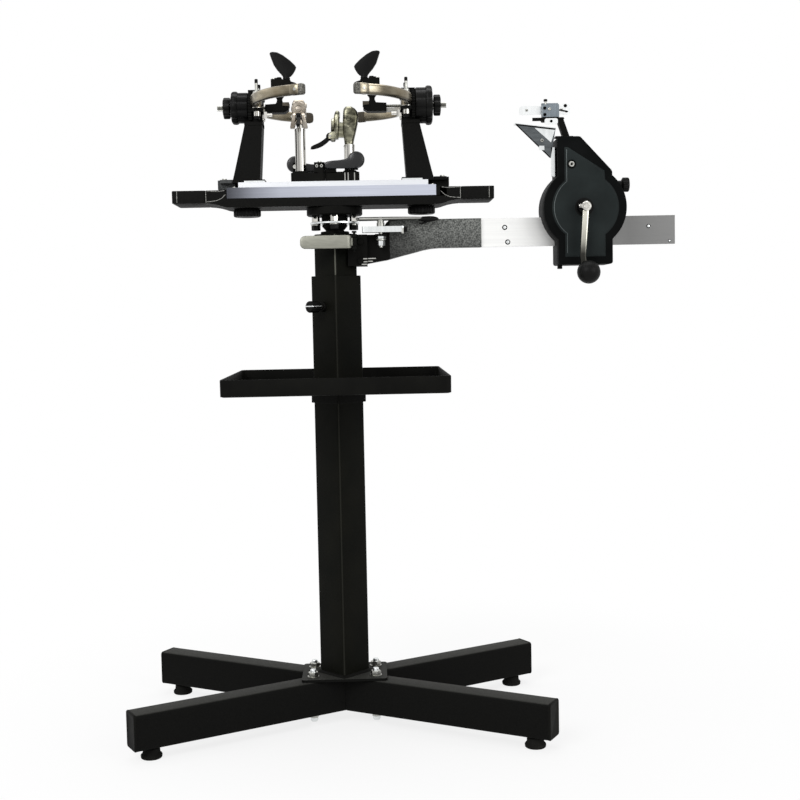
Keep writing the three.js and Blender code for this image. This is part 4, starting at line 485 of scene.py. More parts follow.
        # Painted shade: a dark disc at the bottom of the socket.
        self.turn([(radius * 0.48, h * 0.36), (radius * 0.48, h * 0.42)], DARK_PARTS_AND_SHADE, at, axis, 6)

    def piece(self, name, body, slot, *nodes):
        """Makes the object. The sketch's label comes before the names of the object, its body and its nodes."""
        name, body, *nodes = (self.label + word for word in (name, body, *nodes))
        mesh = bpy.data.meshes.new(name)
        self.mesh.transform(TO_ROW)
        self.mesh.to_mesh(mesh)
        self.mesh.free()
        for material in self.materials:
            mesh.materials.append(material)
        mesh.set_sharp_from_angle(angle=SHARP)
        thing = bpy.data.objects.new(name, mesh)
        bpy.context.collection.objects.link(thing)
        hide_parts(*nodes)
        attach(thing, body)


def knurled(depth, count, rows):
    """Fine ribs round some rows of a turned shape."""
    return lambda a, k: 1 + (depth * math.cos(count * a) if k in rows else 0)


def turned_z(degrees, x=0.0):
    return Matrix.Translation((x, 0, 0)) @ Matrix.Rotation(math.radians(degrees), 4, "Z")


# Floor stand
LEG_TURN = 29
LEG_MIDDLE = (0, 55)
LEG_SECTION = rounded(45, 67, 4.5, 4, LEG_MIDDLE)
LEG_REACH = 431
LEG_BUTT = 22.9
FOOT_REACH = 397
BOLT_REACH = 69
PLATE_TOP = 93.6
COLUMN_TURN = 45
LOCK_LINE = (0, 0, 805)


def leg(name, turn, node, root):
    """One leg of square tube, with the plug in its end. root gives where the tube starts at each y."""
    s = Sketch(turned_z(turn))
    s.loft([[(root(y), y, z) for y, z in LEG_SECTION], [(LEG_REACH, y, z) for y, z in LEG_SECTION]], LEG_COAT)
    for sign in (1, -1) if name == "through_leg" else (1,):
        cap = (
            (0, 45.6, 67.6, 4.8), (2.4, 45.6, 67.6, 4.8), (3.8, 43.4, 65.4, 4.4), (4.2, 39, 61, 3.6),
            (3.4, 34, 56, 3)
        )
        s.loft(
            [
                [(sign * LEG_REACH + sign * out, y, z) for y, z in rounded(w, h, r, 4, LEG_MIDDLE)]
                for out, w, h, r in cap
            ],
            CAP_PLASTIC
        )
    s.piece(name, "stand", "black_paint", node)


cross = math.radians(2 * LEG_TURN)
leg("through_leg", LEG_TURN, "leg_beam_through", lambda y: -LEG_REACH)
for leg_name, leg_turn, leg_node in (
    ("front_right_leg", -LEG_TURN, "leg_front_right"), ("rear_left_leg", 180 - LEG_TURN, "leg_rear_left")
):
    leg(leg_name, leg_turn, leg_node, lambda y: (LEG_BUTT + y * math.cos(cross)) / math.sin(cross))

FOOT_TURNS = {
    "front_left": 180 + LEG_TURN, "front_right": -LEG_TURN, "rear_left": 180 - LEG_TURN, "rear_right": LEG_TURN
}
for where, degrees in FOOT_TURNS.items():
    s = Sketch(turned_z(degrees) @ Matrix.Translation((FOOT_REACH, 0, 0)))
    s.turn(
        [(17.8, 0), (19, 1.2), (19, 5.6), (18, 7), (16.4, 8.4), (15.8, 10.4), (15.4, 17.6), (14.2, 19), (5, 19.2)],
        RUBBER, sides=96, wave=knurled(0.035, 24, (2, 3, 4))
    )
    s.turn([(10, 19), (10, 20.4), (9.2, 21), (5, 21.2)], ZINC, sides=24)
    s.piece("foot_" + where + "_pad", "foot_" + where, "foot_rubber", "foot_" + where)

s = Sketch()
s.prism(rounded(164, 115, 6, 5), "z", 88.7, PLATE_TOP, LEG_COAT, 0.8)
for degrees in (LEG_TURN, -LEG_TURN, 180 - LEG_TURN, 180 + LEG_TURN):
    spot = turned_z(degrees) @ Matrix.Translation((BOLT_REACH, 0, 0))
    s.turn([(11.4, PLATE_TOP), (11.4, 94.9), (10.8, 95.2), (5, 95.2)], ZINC, sides=28, move=spot)
    s.hexagon([(9.2, 95.2), (10.2, 96.2), (10.2, 101.8), (9.2, 102.8)], ZINC, start=0.3, move=spot)
    s.turn([(6, 95), (6, 106.6), (5, 108), (2, 108.6)], BRIGHT, sides=20, move=spot)
    s.turn([(10.4, 21.4), (10.4, 20.1), (5, 20.1)], ZINC, sides=28, move=spot)
    s.hexagon([(8.4, 20.1), (9.3, 19.2), (9.3, 14.6), (8.4, 13.8)], ZINC, start=0.9, move=spot)
    s.turn([(7.4, 14), (7.4, 9), (6, 6.4), (3, 5.4)], BRIGHT, sides=24, move=spot)
s.piece("foot_plate", "stand", "black_paint", "base_plate")

s = Sketch(turned_z(COLUMN_TURN))
outside = [(35, PLATE_TOP), (35, 862.7), (34.4, 863.5)]
inside = [(31.2, 863.5), (30.5, 862.7), (30.5, 780)]
column_rings = [(2 * h, 2 * h, 6, z) for h, z in outside] + [(2 * h, 2 * h, 5, z) for h, z in inside]
s.levels(column_rings, COLUMN_BLACK, close=True)
weld = [(40.2, PLATE_TOP), (38.8, 96), (36.6, 98), (35.1, 98.4), (34, 96), (34, 93.7)]
s.square(weld, 7, BLACK, close=True)
s.turn([(9.5, -35), (9.5, -39.4), (8.6, -40.4), (5.2, -40.4)], BLACK, LOCK_LINE, "x", 28)
s.piece("column_tube", "stand", "black_paint", "outer_column")

s = Sketch(turned_z(COLUMN_TURN))
s.turn([(4.8, -31), (4.8, -52.5)], ZINC, LOCK_LINE, "x", 20)
s.turn(
    [(7.5, -47.5), (9.6, -49), (10.6, -50.4), (10.6, -70.6), (9.4, -72), (6.4, -72.3), (6, -71.4), (0, -71.4)],
    PLASTIC, LOCK_LINE, "x", 72, wave=knurled(0.05, 18, (2, 3))
)
# Painted highlight: a pale bar across the knob's end and along its front side, for the line of light on the black
# knob.
s.tube([(-72.4, 9.2, 806), (-72.4, -8.8, 806), (-70.6, -10.8, 806), (-51, -11, 806)], 1.2, PALE, 10)
s.piece("height_lock", "height_lock", "knob_plastic", "height_lock_knob")

s = Sketch()
tray_rings = [
    (410, 400, 9, 648.2), (410.4, 400.4, 9, 676.6), (409.4, 399.4, 9, 678.2), (406, 396, 8, 678.2),
    (405.2, 395.2, 8, 676.8), (405.6, 395.6, 8, 651.5), (400, 390, 6, 649.4)
]
s.levels(tray_rings, BLACK)
s.levels([(402, 392, 6, 647), (410, 400, 9, 648.6)], BLACK)
collar = [(38, 621.4), (38.4, 622), (38.4, 647), (35.3, 647), (35.3, 621.4)]
s.square(collar, 5, BLACK, 5, close=True, move=turned_z(COLUMN_TURN))
rim = [(44, 647.2), (43, 651.6), (36, 653.4), (35.3, 652), (35.3, 647.2)]
s.square(rim, 6, BLACK, 5, close=True, move=turned_z(COLUMN_TURN))
s.piece("tray", "stand", "black_paint", "tool_tray")

# Mast and bearing
s = Sketch(turned_z(COLUMN_TURN))
s.square([(30, 604), (30, 941), (29, 942.8)], 6, MAST_BLACK)
s.piece("mast_tube", "mast", "black_paint", "inner_column")

s = Sketch()
s.turn(
    [
        (26, 943.3), (27.2, 944.2), (27.2, 946.6), (26, 947.4), (18.4, 947.6), (17.6, 948.4), (17.6, 950),
        (19, 951.5), (24, 957.2), (24, 959.8), (23, 960.6), (12, 960.7), (12, 1003)
    ],
    BLACK, sides=48
)
s.piece("bearing", "mast", "black_paint", "bearing_head")


# Tension arm
PADDLE_LINE = (37, -50, 0)
BRAKE_LINE = (87, -26, 0)
RAIL_BOLTS = ((324.6, 949.7), (330, 921.8))


def arm_outline(start, end):
    low = [(34, 881), (100, 892), (131, 900), (150, 904.5), (168, 909.3), (184, 912), (200, 913), (279, 913)]
    high = [(279, 967.5), (110, 967.5), (103, 966.2), (98, 962), (85, 941.5), (80, 940), (34, 940)]

    def clipped(points):
        result = []
        for (ax, az), (bx, bz) in zip(points, points[1:]):
            lo, hi = sorted((ax, bx))
            for x, z in ((ax, az), (bx, bz)):
                if start <= x <= end:
                    result.append((x, z))
                    continue
                edge = start if x < start else end
                if lo <= edge <= hi and bx != ax:
                    result.append((edge, az + (bz - az) * (edge - ax) / (bx - ax)))
        cleaned = []
        for p in result:
            if not cleaned or (Vector(cleaned[-1]) - Vector(p)).length > 0.01:
                cleaned.append(p)
        return cleaned

    return clipped(low) + clipped(high)


s = Sketch()
s.prism(arm_outline(72, 279), "y", -13, 13, HAMMERED, 1.6, segments=3)
s.prism(arm_outline(60, 104), "y", -13.8, 13.8, BLACK, 1.2)
footprint = [(61, -25), (61, 25), (24, 25), (24, 18.9), (41.8, 1.1), (41.8, -1.1), (24, -18.9), (24, -25)]
s.prism(footprint, "z", 881, 940, BLACK, 1.2)
s.prism([(274, 913.4), (345, 913.4), (345, 935), (338, 950.6), (333, 967), (274, 967)], "y", 5.4, 13, HAMMERED, 1)
for x, z in RAIL_BOLTS:
    s.turn([(5, 12.9), (5, 17), (4, 18)], ZINC, (x, 0, z), "y", 18)
for z in (890, 926):
    s.nut((48, -25, z), "y", 11, -5, BLACK)
for z0, z1 in ((910.4, 916.4), (933.6, 939.6)):
    s.prism(rounded(10, 36, 4.9, 6, (37, -37)), "z", z0, z1, BLACK, 0.5)
s.turn([(2.4, 906), (2.4, 942.5), (1.8, 943.3)], BLACK, PADDLE_LINE, sides=16)
s.turn([(4.6, 942), (4.6, 944.4), (3.6, 945.2)], BLACK, PADDLE_LINE, sides=20)
s.box(76, 98, -37, -12.6, 936.4, 939.8, BLACK, 1)
s.prism([(76, -13), (98, -13), (98, -12), (76, -12)], "z", 915, 938, BLACK, 0.3)
for z, x0, x1, y in (
    (882.8, 50, 60, -26), (887.6, 53, 60.6, -26), (893.2, 53, 60.6, -26), (888.8, 62, 71, -15), (894, 62, 77, -15)
):
    s.box(x0, x1, y, y + 1.6, z, z + 1.8, ZINC, 0.5)
s.piece("cranked_arm", "mast", "hammered_paint", "tension_arm")

s = Sketch()
s.box(279.6, 652, -5, 5, 913, 967.5, RAIL, 0.7)
for x, z, r in (*((x, z, 5) for x, z in RAIL_BOLTS), (601, 947.3, 4), (641.3, 918.6, 2.8)):
    # Painted shade: a dark ring in each hole round its bright end.
    s.turn([(r, -4.9), (r, -5.2), (r * 0.74, -5.3), (r * 0.7, -5.1), (0, -5.1)], DARK_PARTS_AND_SHADE, (x, 0, z), "y", 24)
    s.turn([(r * 0.62, -5.05), (r * 0.6, -5.7), (r * 0.4, -5.9), (0, -5.9)], BRIGHT, (x, 0, z), "y", 20)
s.piece("rail_bar", "mast", "bed_aluminium", "tension_rail")

# Paddle lever: flat bar whose right end curls back to its pivot
s = Sketch()
rings = []
route = [(-64, -58.5), (-62.6, -58.5), (-60, -58.5), (-56, -58.5), (-20, -58.5), (22, -58.5)]
heights = [10, 16, 21, 24, 25, 25]
route += [(22 + 9 * math.sin(t), -49.5 - 9 * math.cos(t)) for t in (0.35, 0.7, 1.05, 1.4)]
heights += [25, 24.6, 24, 22]
for i, ((x, y), height) in enumerate(zip(route, heights)):
    a, b = Vector(route[max(i - 1, 0)]), Vector(route[min(i + 1, len(route) - 1)])
    along = (b - a).normalized()
    across = Vector((-along.y, along.x))
    ring = []
    for u, v in rounded(3, height, 1.4, 3, (0, 925)):
        ring.append((x + across.x * u, y + across.y * u, v))
    rings.append(ring)
s.loft(rings, PADDLE)
s.turn(
    [(4.2, 917.2), (5, 917.8), (5, 932.2), (4.2, 932.8), (2.7, 932.8), (2.7, 917.2)], BLACK, PADDLE_LINE, sides=24,
    close=True
)
s.box(29.5, 35, -53.6, -50, 918, 932, PADDLE, 0.8)
s.piece("paddle", "paddle", "steel", "paddle_lever")

# Brake handle
s = Sketch()
s.prism(rounded(79, 22, 3, 4, (91.5, -26)), "z", 943, 954, BRIGHT, 0.8)
s.box(131, 137, -32, -20, 943.6, 952, PLASTIC, 2)
s.turn([(3, 950.5), (3, 940), (2.4, 939.3)], STEEL, (128, -34.5, 0), sides=14)
s.nut((87, -26, 930.4), "z", 17, 6, BRIGHT)
s.turn([(10, 928.2), (10, 930.2), (9, 930.4)], ZINC, BRAKE_LINE, sides=24)
s.nut((87, -26, 918), "z", 14, 10, BRIGHT)
s.turn([(4, 914.6), (4, 965)], ZINC, BRAKE_LINE, sides=20)
s.turn(
    [(7.4, 954), (7.4, 961), (6.4, 961.6), (6.4, 964), (7, 964.6), (7, 971), (6, 972)], STEEL, BRAKE_LINE, sides=28
)
for y, z in ((-30, 968.6), (-22.5, 968.6)):
    s.tube(
        [(47, y, z), (52, y, z), (110, y, z), (150, y + 0.5, z), (168, y + (2 if y < -26 else -2), z)],
        [3.6, 3.6, 3.4, 2.8, 2.4], STEEL, 12
    )
s.tube(
    [(47, -30, 968.6), (44.6, -28.6, 968.6), (44, -26.2, 968.6), (44.8, -23.8, 968.6), (47, -22.5, 968.6)], 3.2,
    STEEL, 12
)
grip = [(160, 4.4, 2.6), (166, 5.2, 4.6), (180, 5.6, 5.2), (188, 5, 4.6), (194, 3, 3), (197, 1.2, 1.2)]
s.loft([[(x, -26 + u, 967 + v) for u, v in rounded(2 * w, 2 * h, min(w, h) * 0.8, 4)] for x, w, h in grip], PLASTIC)
s.tube([(176, -26, 964), (172, -26, 960.5), (165, -26, 958.6), (160, -26, 959)], [2.6, 2.2, 1.8, 1.2], PLASTIC, 10)
s.piece("brake_lever", "brake", "steel", "brake_handle")

# Turntable
TABLE_HALF = 50
END_TRAY = (270, 0)

s = Sketch()
s.turn([(46.2, 961), (47, 961.6), (47, 964.4), (46.2, 965), (12.4, 965), (12.4, 961)], BRIGHT, sides=72, close=True)
for k in range(4):
    spot = turned_z(90 * k) @ Matrix.Translation((36, 0, 0))
    s.turn([(7, 965), (7.6, 965.6), (7.6, 976.6)], CHROME, sides=6, move=spot)
    s.turn([(9, 961), (9, 959.4), (7.4, 959.2)], ZINC, sides=24, move=spot)
    s.turn([(8, 959.4), (8.6, 958.6), (8.6, 951), (8, 950.2)], PLASTIC, sides=6, move=spot)
s.piece("disc", "turntable", "steel", "brake_disc")

s = Sketch()
s.turn(
    [
        (24, 965.4), (25, 966.2), (25, 975), (27, 977), (51, 977.4), (53, 979.4), (53, 991.4), (52, 992.6),
        (12.4, 992.6), (12.4, 965.4)
    ],
    BLACK, sides=72, close=True
)
for k in range(6):
    spot = turned_z(60 * k + 30) @ Matrix.Translation((44, 0, 0))
    s.turn([(4.2, 977.3), (4.2, 974.4), (3.4, 973.8), (2, 974.6)], PLASTIC, sides=18, move=spot)
s.piece("hub", "turntable", "black_paint", "spindle_hub")

s = Sketch()
wing = [
    (205, 994.4), (212, 996.8), (220, 999), (230, 1000.8), (240, 1001.5), (240, 1024), (236, 1025), (199.6, 1025),
    (199.6, 1009.3)
]
shape = [(-198, 993), (198, 993)] + wing + [(-x, z) for x, z in reversed(wing)]
s.prism(shape, "y", -TABLE_HALF, TABLE_HALF, CASTING, 1)
s.box(192.6, 212, -TABLE_HALF, TABLE_HALF, 1008, 1026.4, CASTING, 0.8)
for side in (1, -1):
    flip = Matrix.Scale(side, 4, (1, 0, 0))
    wall = [
        (62, 100, 4, 1002.4), (62.4, 100.4, 4.5, 1023.6), (61.4, 99.4, 4.5, 1025), (57, 95, 3.5, 1025),
        (56, 94, 3.5, 1023.8), (56, 94, 3.5, 1006), (54, 92, 3, 1004.8)
    ]
    s.levels(wall, CASTING, 5, END_TRAY, move=flip)
    s.levels([(58, 96, 3, 1001.5), (62, 100, 4, 1002.6)], CASTING, 5, END_TRAY, move=flip)
    # Painted highlights: thin light lines along the chamfered edges of each wing.
    for y in (-50.1, 50.1):
        for x, z in ((237, 1002.4), (291, 1003.4)):
            s.box(x, x + 1, y - 0.2, y + 0.2, z, 1024, EDGE_PAINTED_HIGHLIGHT, 0.15, move=flip)
        s.tube(
            [(201, y, 1017), (208, y, 1010), (217, y, 1006), (228, y, 1004.4), (237, y, 1004)], 0.6, EDGE_PAINTED_HIGHLIGHT, 8,
            move=flip
        )
        s.tube([(203, y, 1024.2), (215, y, 1022.6), (226, y, 1023.4), (236, y, 1024)], 0.6, EDGE_PAINTED_HIGHLIGHT, 8, move=flip)
s.piece("table_base", "turntable", "black_cast", "turntable_base")

s = Sketch()
s.box(-198.6, 192, -TABLE_HALF, TABLE_HALF, 1009.6, 1029.4, BED, 0.9)
for y0, y1 in ((-38, -12), (12, 38)):
    s.box(-178, 178, y0, y1, 1029, 1040, BED_RAIL, 0.8)
s.box(-178, 178, -12.2, 12.2, 1029.3, 1029.7, STEEL, 0.1)
for x in (-186, 186):
    for y in (-28, 28):
        s.screw((x, y, 1029.4), "z", 4.6, 3)
s.piece("bed", "turntable", "bed_aluminium", "turntable_bed")


# Mounting towers, drawn for the right-hand side and mirrored for the left
PIVOT_X, PIVOT_Y = 140, 29
ARM_Z = 1188
SCREW_Z = 1183
SCREW_LINE = (0, 0, SCREW_Z)
TABLE_KNOB_LINE = (166, 0, 0)
DRUM_STEP, DRUM_OUTER = 178, 190
STAR_INNER, STAR_RADIUS = 192.5, 20
SCREW_END = 217
PIVOT_PARTS = (
    (CHROME, 24, [(6.8, 1163), (6.8, 1171.6)]), (PLASTIC, 24, [(4.2, 1157), (5.6, 1159), (6, 1163)]),
    (ZINC, 24, [(6.6, 1204.4), (6.6, 1208.4), (5, 1209.6), (2.8, 1209.8), (2.8, 1225)]),
    (PLASTIC, 18, [(3.1, 1224), (3.1, 1230.6), (2.4, 1231.5)]),
    (CHROME, 28, [(10.6, 1177.7), (10.6, 1178.5), (9, 1178.5)]), (CHROME, 18, [(4, 1178), (4, 1198)])
)


def side_curve(steps):
    """The arm's middle line from its pivot to its tip, with its tangents."""
    knots = [(PIVOT_X, -PIVOT_Y), (142.8, -59.1), (130.2, -97.5), (98, -138.6), (50.4, -166)]
    points = []
    for i in range(steps + 1):
        t = i / steps * (len(knots) - 1)
        k = min(int(t), len(knots) - 2)
        f = t - k
        p0, p1, p2, p3 = (Vector(knots[max(0, min(len(knots) - 1, j))]) for j in range(k - 1, k + 3))
        second = 2 * p0 - 5 * p1 + 4 * p2 - p3
        third = 3 * p1 - p0 - 3 * p2 + p3
        points.append(0.5 * (2 * p1 + (p2 - p0) * f + second * f * f + third * f * f * f))
    return points


def side_arm(label, place, side):
    rear = place == "rear"
    s = Sketch(Matrix.Scale(side, 4, (1, 0, 0)) @ Matrix.Scale(-1 if rear else 1, 4, (0, 1, 0)), label)
    steps = 26
    line = side_curve(steps)
    rings = []
    for i, point in enumerate(line):
        along = (line[min(i + 1, steps)] - line[max(i - 1, 0)]).normalized()
        across = Vector((-along.y, along.x))
        share = i / steps
        width = 13 * (1 - 0.12 * share)
        height = 19.4 if share < 0.9 else 19.4 - 3 * (share - 0.9) / 0.1
        outline = rounded(width, height, 5, 5, (0, ARM_Z))
        rings.append([(point.x + across.x * u, point.y + across.y * u, v) for u, v in outline])
    s.loft(rings, GOLD)
    s.turn([(8.4, 1178.4), (9.1, 1179.2), (9.1, 1196.8), (8.4, 1197.6)], GOLD, (PIVOT_X, -PIVOT_Y, 0), sides=32)
    tip, before = line[-1], line[-5]
    along = (tip - before).normalized()
    angle = math.atan2(along.y, along.x)
    end = Matrix.Translation((tip.x, tip.y, ARM_Z)) @ Matrix.Rotation(angle, 4, "Z")
    if rear:
        cap = [(-14, 12, 18), (-12, 14.4, 20.4), (1, 14.4, 20.4), (5, 12.4, 18), (7, 8, 13)]
        s.bar(cap, 4, 5, PAD, move=end)
    else:
        s.bar([(-20, 12, 17), (-18, 13.6, 19), (-3, 13.6, 19), (-2, 12.4, 18)], 3.4, 4, GOLD, move=end)
        cap = [(-2.4, 12, 18), (-1.6, 13, 19.4), (4, 13, 19.4), (6.4, 11, 17), (7.4, 7, 12)]
        s.bar(cap, 3.4, 4, ARM_CAP, move=end)
        s.turn([(2.8, 6.6), (3, 7.4), (2.2, 8), (1, 8)], ZINC, (-9, 0, 0), "y", 18, move=end)
    s.screw((line[9].x, line[9].y, 1197.6), "z", 3.4, 2)
    s.piece(place + "_side_arm", place + "_arm", "satin_gold", place + "_arm")


# The leaf grip's outline: outwards from its axis, and up from the jaw's top
LEAF_OUTLINE = [
    (6.6, 3.4), (7, 6), (10.4, 10.6), (16.8, 17.6), (23.6, 28), (28, 40.2), (31, 49.2), (29.4, 51.6), (24.6, 52.6),
    (15.8, 51.4), (5.4, 46), (-7.8, 36), (-16.6, 27.2), (-19, 23), (-17, 17.3), (-12.9, 10.6), (-9, 6.4), (-6.4, 5),
    (-5.6, 3.4)
]


def tower(label, side, leaf):
    """One tower with its knobs, arms and support. leaf is how far its leaf grip stands from the middle."""
    flip = Matrix.Scale(side, 4, (1, 0, 0))
    # The left tower's blocks are drawn in a lighter grey than the same blocks on the right tower, which are black.
    rough_metal = LEFT_GREY_BLOCK if side < 0 else CASTING

    def from_leaf(points):
        return [(leaf + x, z) for x, z in points]

    s = Sketch(flip, label)
    trunk = [(138.4, 1040.4), (190.6, 1040.4), (185, 1062), (164.6, 1146.8), (131.6, 1146.8), (137, 1062)]
    s.prism(trunk, "y", -25, 25, CASTING, 2.6, segments=3)
    s.box(129.6, 168, -27, 27, 1040.3, 1045, BRIGHT, 0.5)
    s.box(129, 168.6, -27.3, 27.3, 1044, 1046, BLACK, 0.5)
    s.box(178.4, 219, -11.6, 11.6, 1029.9, 1047, rough_metal, 1.4)
    s.box(139, 186, -11.6, 11.6, 1029.9, 1042, STEEL, 0.4)
    s.box(190, 214, -22, 22, 1040.6, 1047, rough_metal, 1.6)
    for y in (-15, 15):
        s.turn([(4.4, 1047), (4.4, 1049), (3.4, 1049.8)], ZINC, (206, y, 0), sides=18)
    s.piece("upright", "tower", "black_cast", "tower")

    s = Sketch(flip, label)
    s.turn(
        [(23, 978), (25.4, 979.2), (26, 981), (26, 990), (25, 992), (22, 992.6)], PLASTIC, TABLE_KNOB_LINE,
        sides=128, wave=lambda a, k: 1 - (0.045 * (0.5 - 0.5 * math.cos(24 * a)) if 0 < k < 5 else 0)
    )
    s.turn([(12, 977.2), (14, 978), (14, 979)], PLASTIC, TABLE_KNOB_LINE, sides=32)
    s.turn([(5, 992), (5, 1030)], ZINC, TABLE_KNOB_LINE, sides=20)
    s.piece("table_lock_knob", "table_lock", "knob_plastic", "table_knob")

    s = Sketch(flip, label)
    s.box(131, 157, -17, 17, 1147.4, 1171.8, CASTING, 1.6)
    s.box(131, 157, -17, 17, 1191, 1214, CASTING, 1.6)
    s.box(135.5, 157, -17, 17, 1179.2, 1192, CASTING, 0.4)
    s.box(131, 165, -25, 25, 1147.4, 1153.4, CASTING, 1)
    s.prism([(-17, 1153), (17, 1153), (12, 1160), (-12, 1160)], "x", 156, 165, CASTING, 0.8)
    collar = [(30.4, 149.8), (32, 150.6), (32, 156), (31, 157), (13, 157), (13, 149.8)]
    s.turn(collar, CASTING, SCREW_LINE, "x", 144, wave=knurled(0.03, 36, range(4)), close=True)
    s.prism(rounded(22, 72, 8, 5, (PIVOT_X, 0)), "z", 1198.4, 1204.4, CASTING, 0.8)
    for way in (1, -1):
        s.box(131, 157, *sorted((12.6 * way, 17 * way)), 1171, 1192, CASTING, 0.4)
        s.box(135.5, 157, *sorted((6.6 * way, 13 * way)), 1171, 1180, CASTING, 0.4)
        s.prism(rounded(22, 23.4, 6, 5, (PIVOT_X, 24.3 * way)), "z", 1171.6, 1177.6, CASTING, 0.8)
    for y in (-PIVOT_Y, PIVOT_Y):
        for metal, sides, profile in PIVOT_PARTS:
            s.turn(profile, metal, (PIVOT_X, y, 0), sides=sides)
    for y, z in ((-12, 1160), (-5, 1159), (6, 1161)):
        s.turn([(3.4, 131), (3.4, 128.4), (2.4, 127.6)], CHROME, (0, y, z), "x", 18)
    s.nut((121.5, -20, 1166), "x", 12, 9.5, CHROME)
    s.turn([(3, 112), (3, 131)], CHROME, (0, -20, 1166), "x", 16)
    s.piece("head", "tower", "black_cast", "tower_head")

    s = Sketch(flip, label)
    core, rim_radius = (28.4, 31) if side < 0 else (33.6, 37)
    ribs = lobed(core, 2.6, 10, 12, 3.0)
    body = [(0.9, 157.4), (0.985, 158.6), (1, 160.4), (1, DRUM_STEP - 3), (1.01, DRUM_STEP + 0.6)]
    s.lobes(ribs, body, SCREW_LINE)
    rim = lobed(rim_radius, 2.4, 10, 12, 2.0)
    edge = [
        (0.9, DRUM_STEP - 1), (0.965, DRUM_STEP), (0.992, DRUM_STEP + 1.8), (1, DRUM_STEP + 4),
        (0.99, DRUM_OUTER - 4)
    ]
    edge += [
        (0.96, DRUM_OUTER - 2), (0.9, DRUM_OUTER - 0.6), (0.82, DRUM_OUTER), (0.45, DRUM_OUTER),
        (0.4, DRUM_OUTER - 1.6)
    ]
    s.lobes(rim, edge, SCREW_LINE)
    s.turn(
        [(11, DRUM_OUTER - 2), (11, DRUM_OUTER + 0.8), (9.6, DRUM_OUTER + 1.4), (4, DRUM_OUTER + 1.4)], PLASTIC,
        SCREW_LINE, "x", 32
    )
    s.piece("drum", "drum", "knob_plastic", "drum_knob")

    s = Sketch(flip, label)
    star = lobed(STAR_RADIUS, STAR_RADIUS * 0.16, 8, 10, 1.2)
    edge = [
        (0.9, STAR_INNER), (0.98, STAR_INNER + 0.8), (1, STAR_INNER + 2.2), (1, STAR_INNER + 11),
        (0.95, STAR_INNER + 12.6), (0.7, STAR_INNER + 13.6), (0.4, STAR_INNER + 13.8)
    ]
    s.lobes(star, edge, SCREW_LINE)
    threads = []
    at = 94.0 if side > 0 else 116.5
    while at < SCREW_END:
        threads += [(2.5, at), (3, at + 0.5)]
        at += 1.0
    s.turn(threads, ZINC, SCREW_LINE, "x", 14)
    for y, z in ((-3.6, 3.4), (-2, -4.2)):
        s.tube([(DRUM_OUTER - 3, y, SCREW_Z + z), (SCREW_END, y, SCREW_Z + z)], 1.3, ZINC, 10)
    s.piece("star", "star", "knob_plastic", "star_knob")

    side_arm(label, "front", side)
    side_arm(label, "rear", side)

    s = Sketch(flip, label)
    body = [(-3, 1177), (5, 1172), (41, 1172), (41, 1187.4), (-3, 1190)]
    s.prism(from_leaf(body), "y", -12, 12, BLACK, 1.2)
    s.prism(from_leaf([(-4, 1183.5), (8, 1184.5), (8, 1190.6), (-4, 1190.8)]), "y", -14, 14, PAD, 1.6)
    s.box(leaf + 24, leaf + 83.6, -6, 6, 1172.2, 1178.8, STEEL, 0.6)
    s.turn(
        [
            (8, 1178), (8, 1190), (6.2, 1193), (5.2, 1196), (5.4, 1199), (8, 1202.6), (9, 1203.6), (9, 1204.2),
            (5, 1204.4), (5, 1238.4), (4, 1239.4)
        ],
        BLACK, (leaf + 14, 0, 0), sides=32
    )
    s.piece("support_block", "support", "black_paint", "centre_support")

    s = Sketch(flip, label)
    jaw = [(-19, 1220.4), (-14, 1217.6), (0, 1214.6), (29, 1214.6), (29, 1234.4)]
    jaw += [(9, 1234.4), (-15, 1227.6), (-19, 1225.6)]
    s.prism(from_leaf(jaw), "y", -13, 13, BLACK, 1.8, segments=3)
    s.prism(from_leaf([(-17, 1218), (-1, 1213.6), (-1, 1216), (-17, 1220.4)]), "y", -12, 12, PAD, 0.8)
    s.turn([(9.4, 1234), (9.4, 1236.4), (8, 1237.4)], BLACK, (leaf + 18, 0, 0), sides=32)
    s.turn([(7.8, 1226), (7.8, 1233.6), (7, 1234.4)], BLACK, (leaf, 0, 0), sides=32)
    s.screw((leaf + 24, -9, 1234.4), "z", 2.8, 2)
    s.piece("jaw_plate", "hold_down", "black_paint", "hold_down_jaw")

    s = Sketch(flip, label)
    rings = []
    for y, inset in ((-4.6, 3), (-4.2, 1.3), (-2.6, 0.4), (0, 0), (2.6, 0.4), (4.2, 1.3), (4.6, 3)):
        rings.append([placed((leaf + u, 1234.6 + v), y, "y") for u, v in shrunk(LEAF_OUTLINE, inset)])
    s.loft(rings, PLASTIC)
    s.turn([(6.4, 1234.9), (7, 1235.8), (6.8, 1238), (5.6, 1240.4), (5, 1243)], PLASTIC, (leaf, 0, 0), sides=28)
    s.turn([(3.4, 1206.6), (4.4, 1208), (4.4, 1236)], ZINC, (leaf, 0, 0), sides=20)
    s.turn([(6.4, 1206), (7, 1207), (7, 1210), (5, 1211.4)], PAD, (leaf, 0, 0), sides=28)
    s.piece("leaf_grip", "leaf", "knob_plastic", "leaf_knob")


tower("left_", -1, 85)
tower("right_", 1, 62)


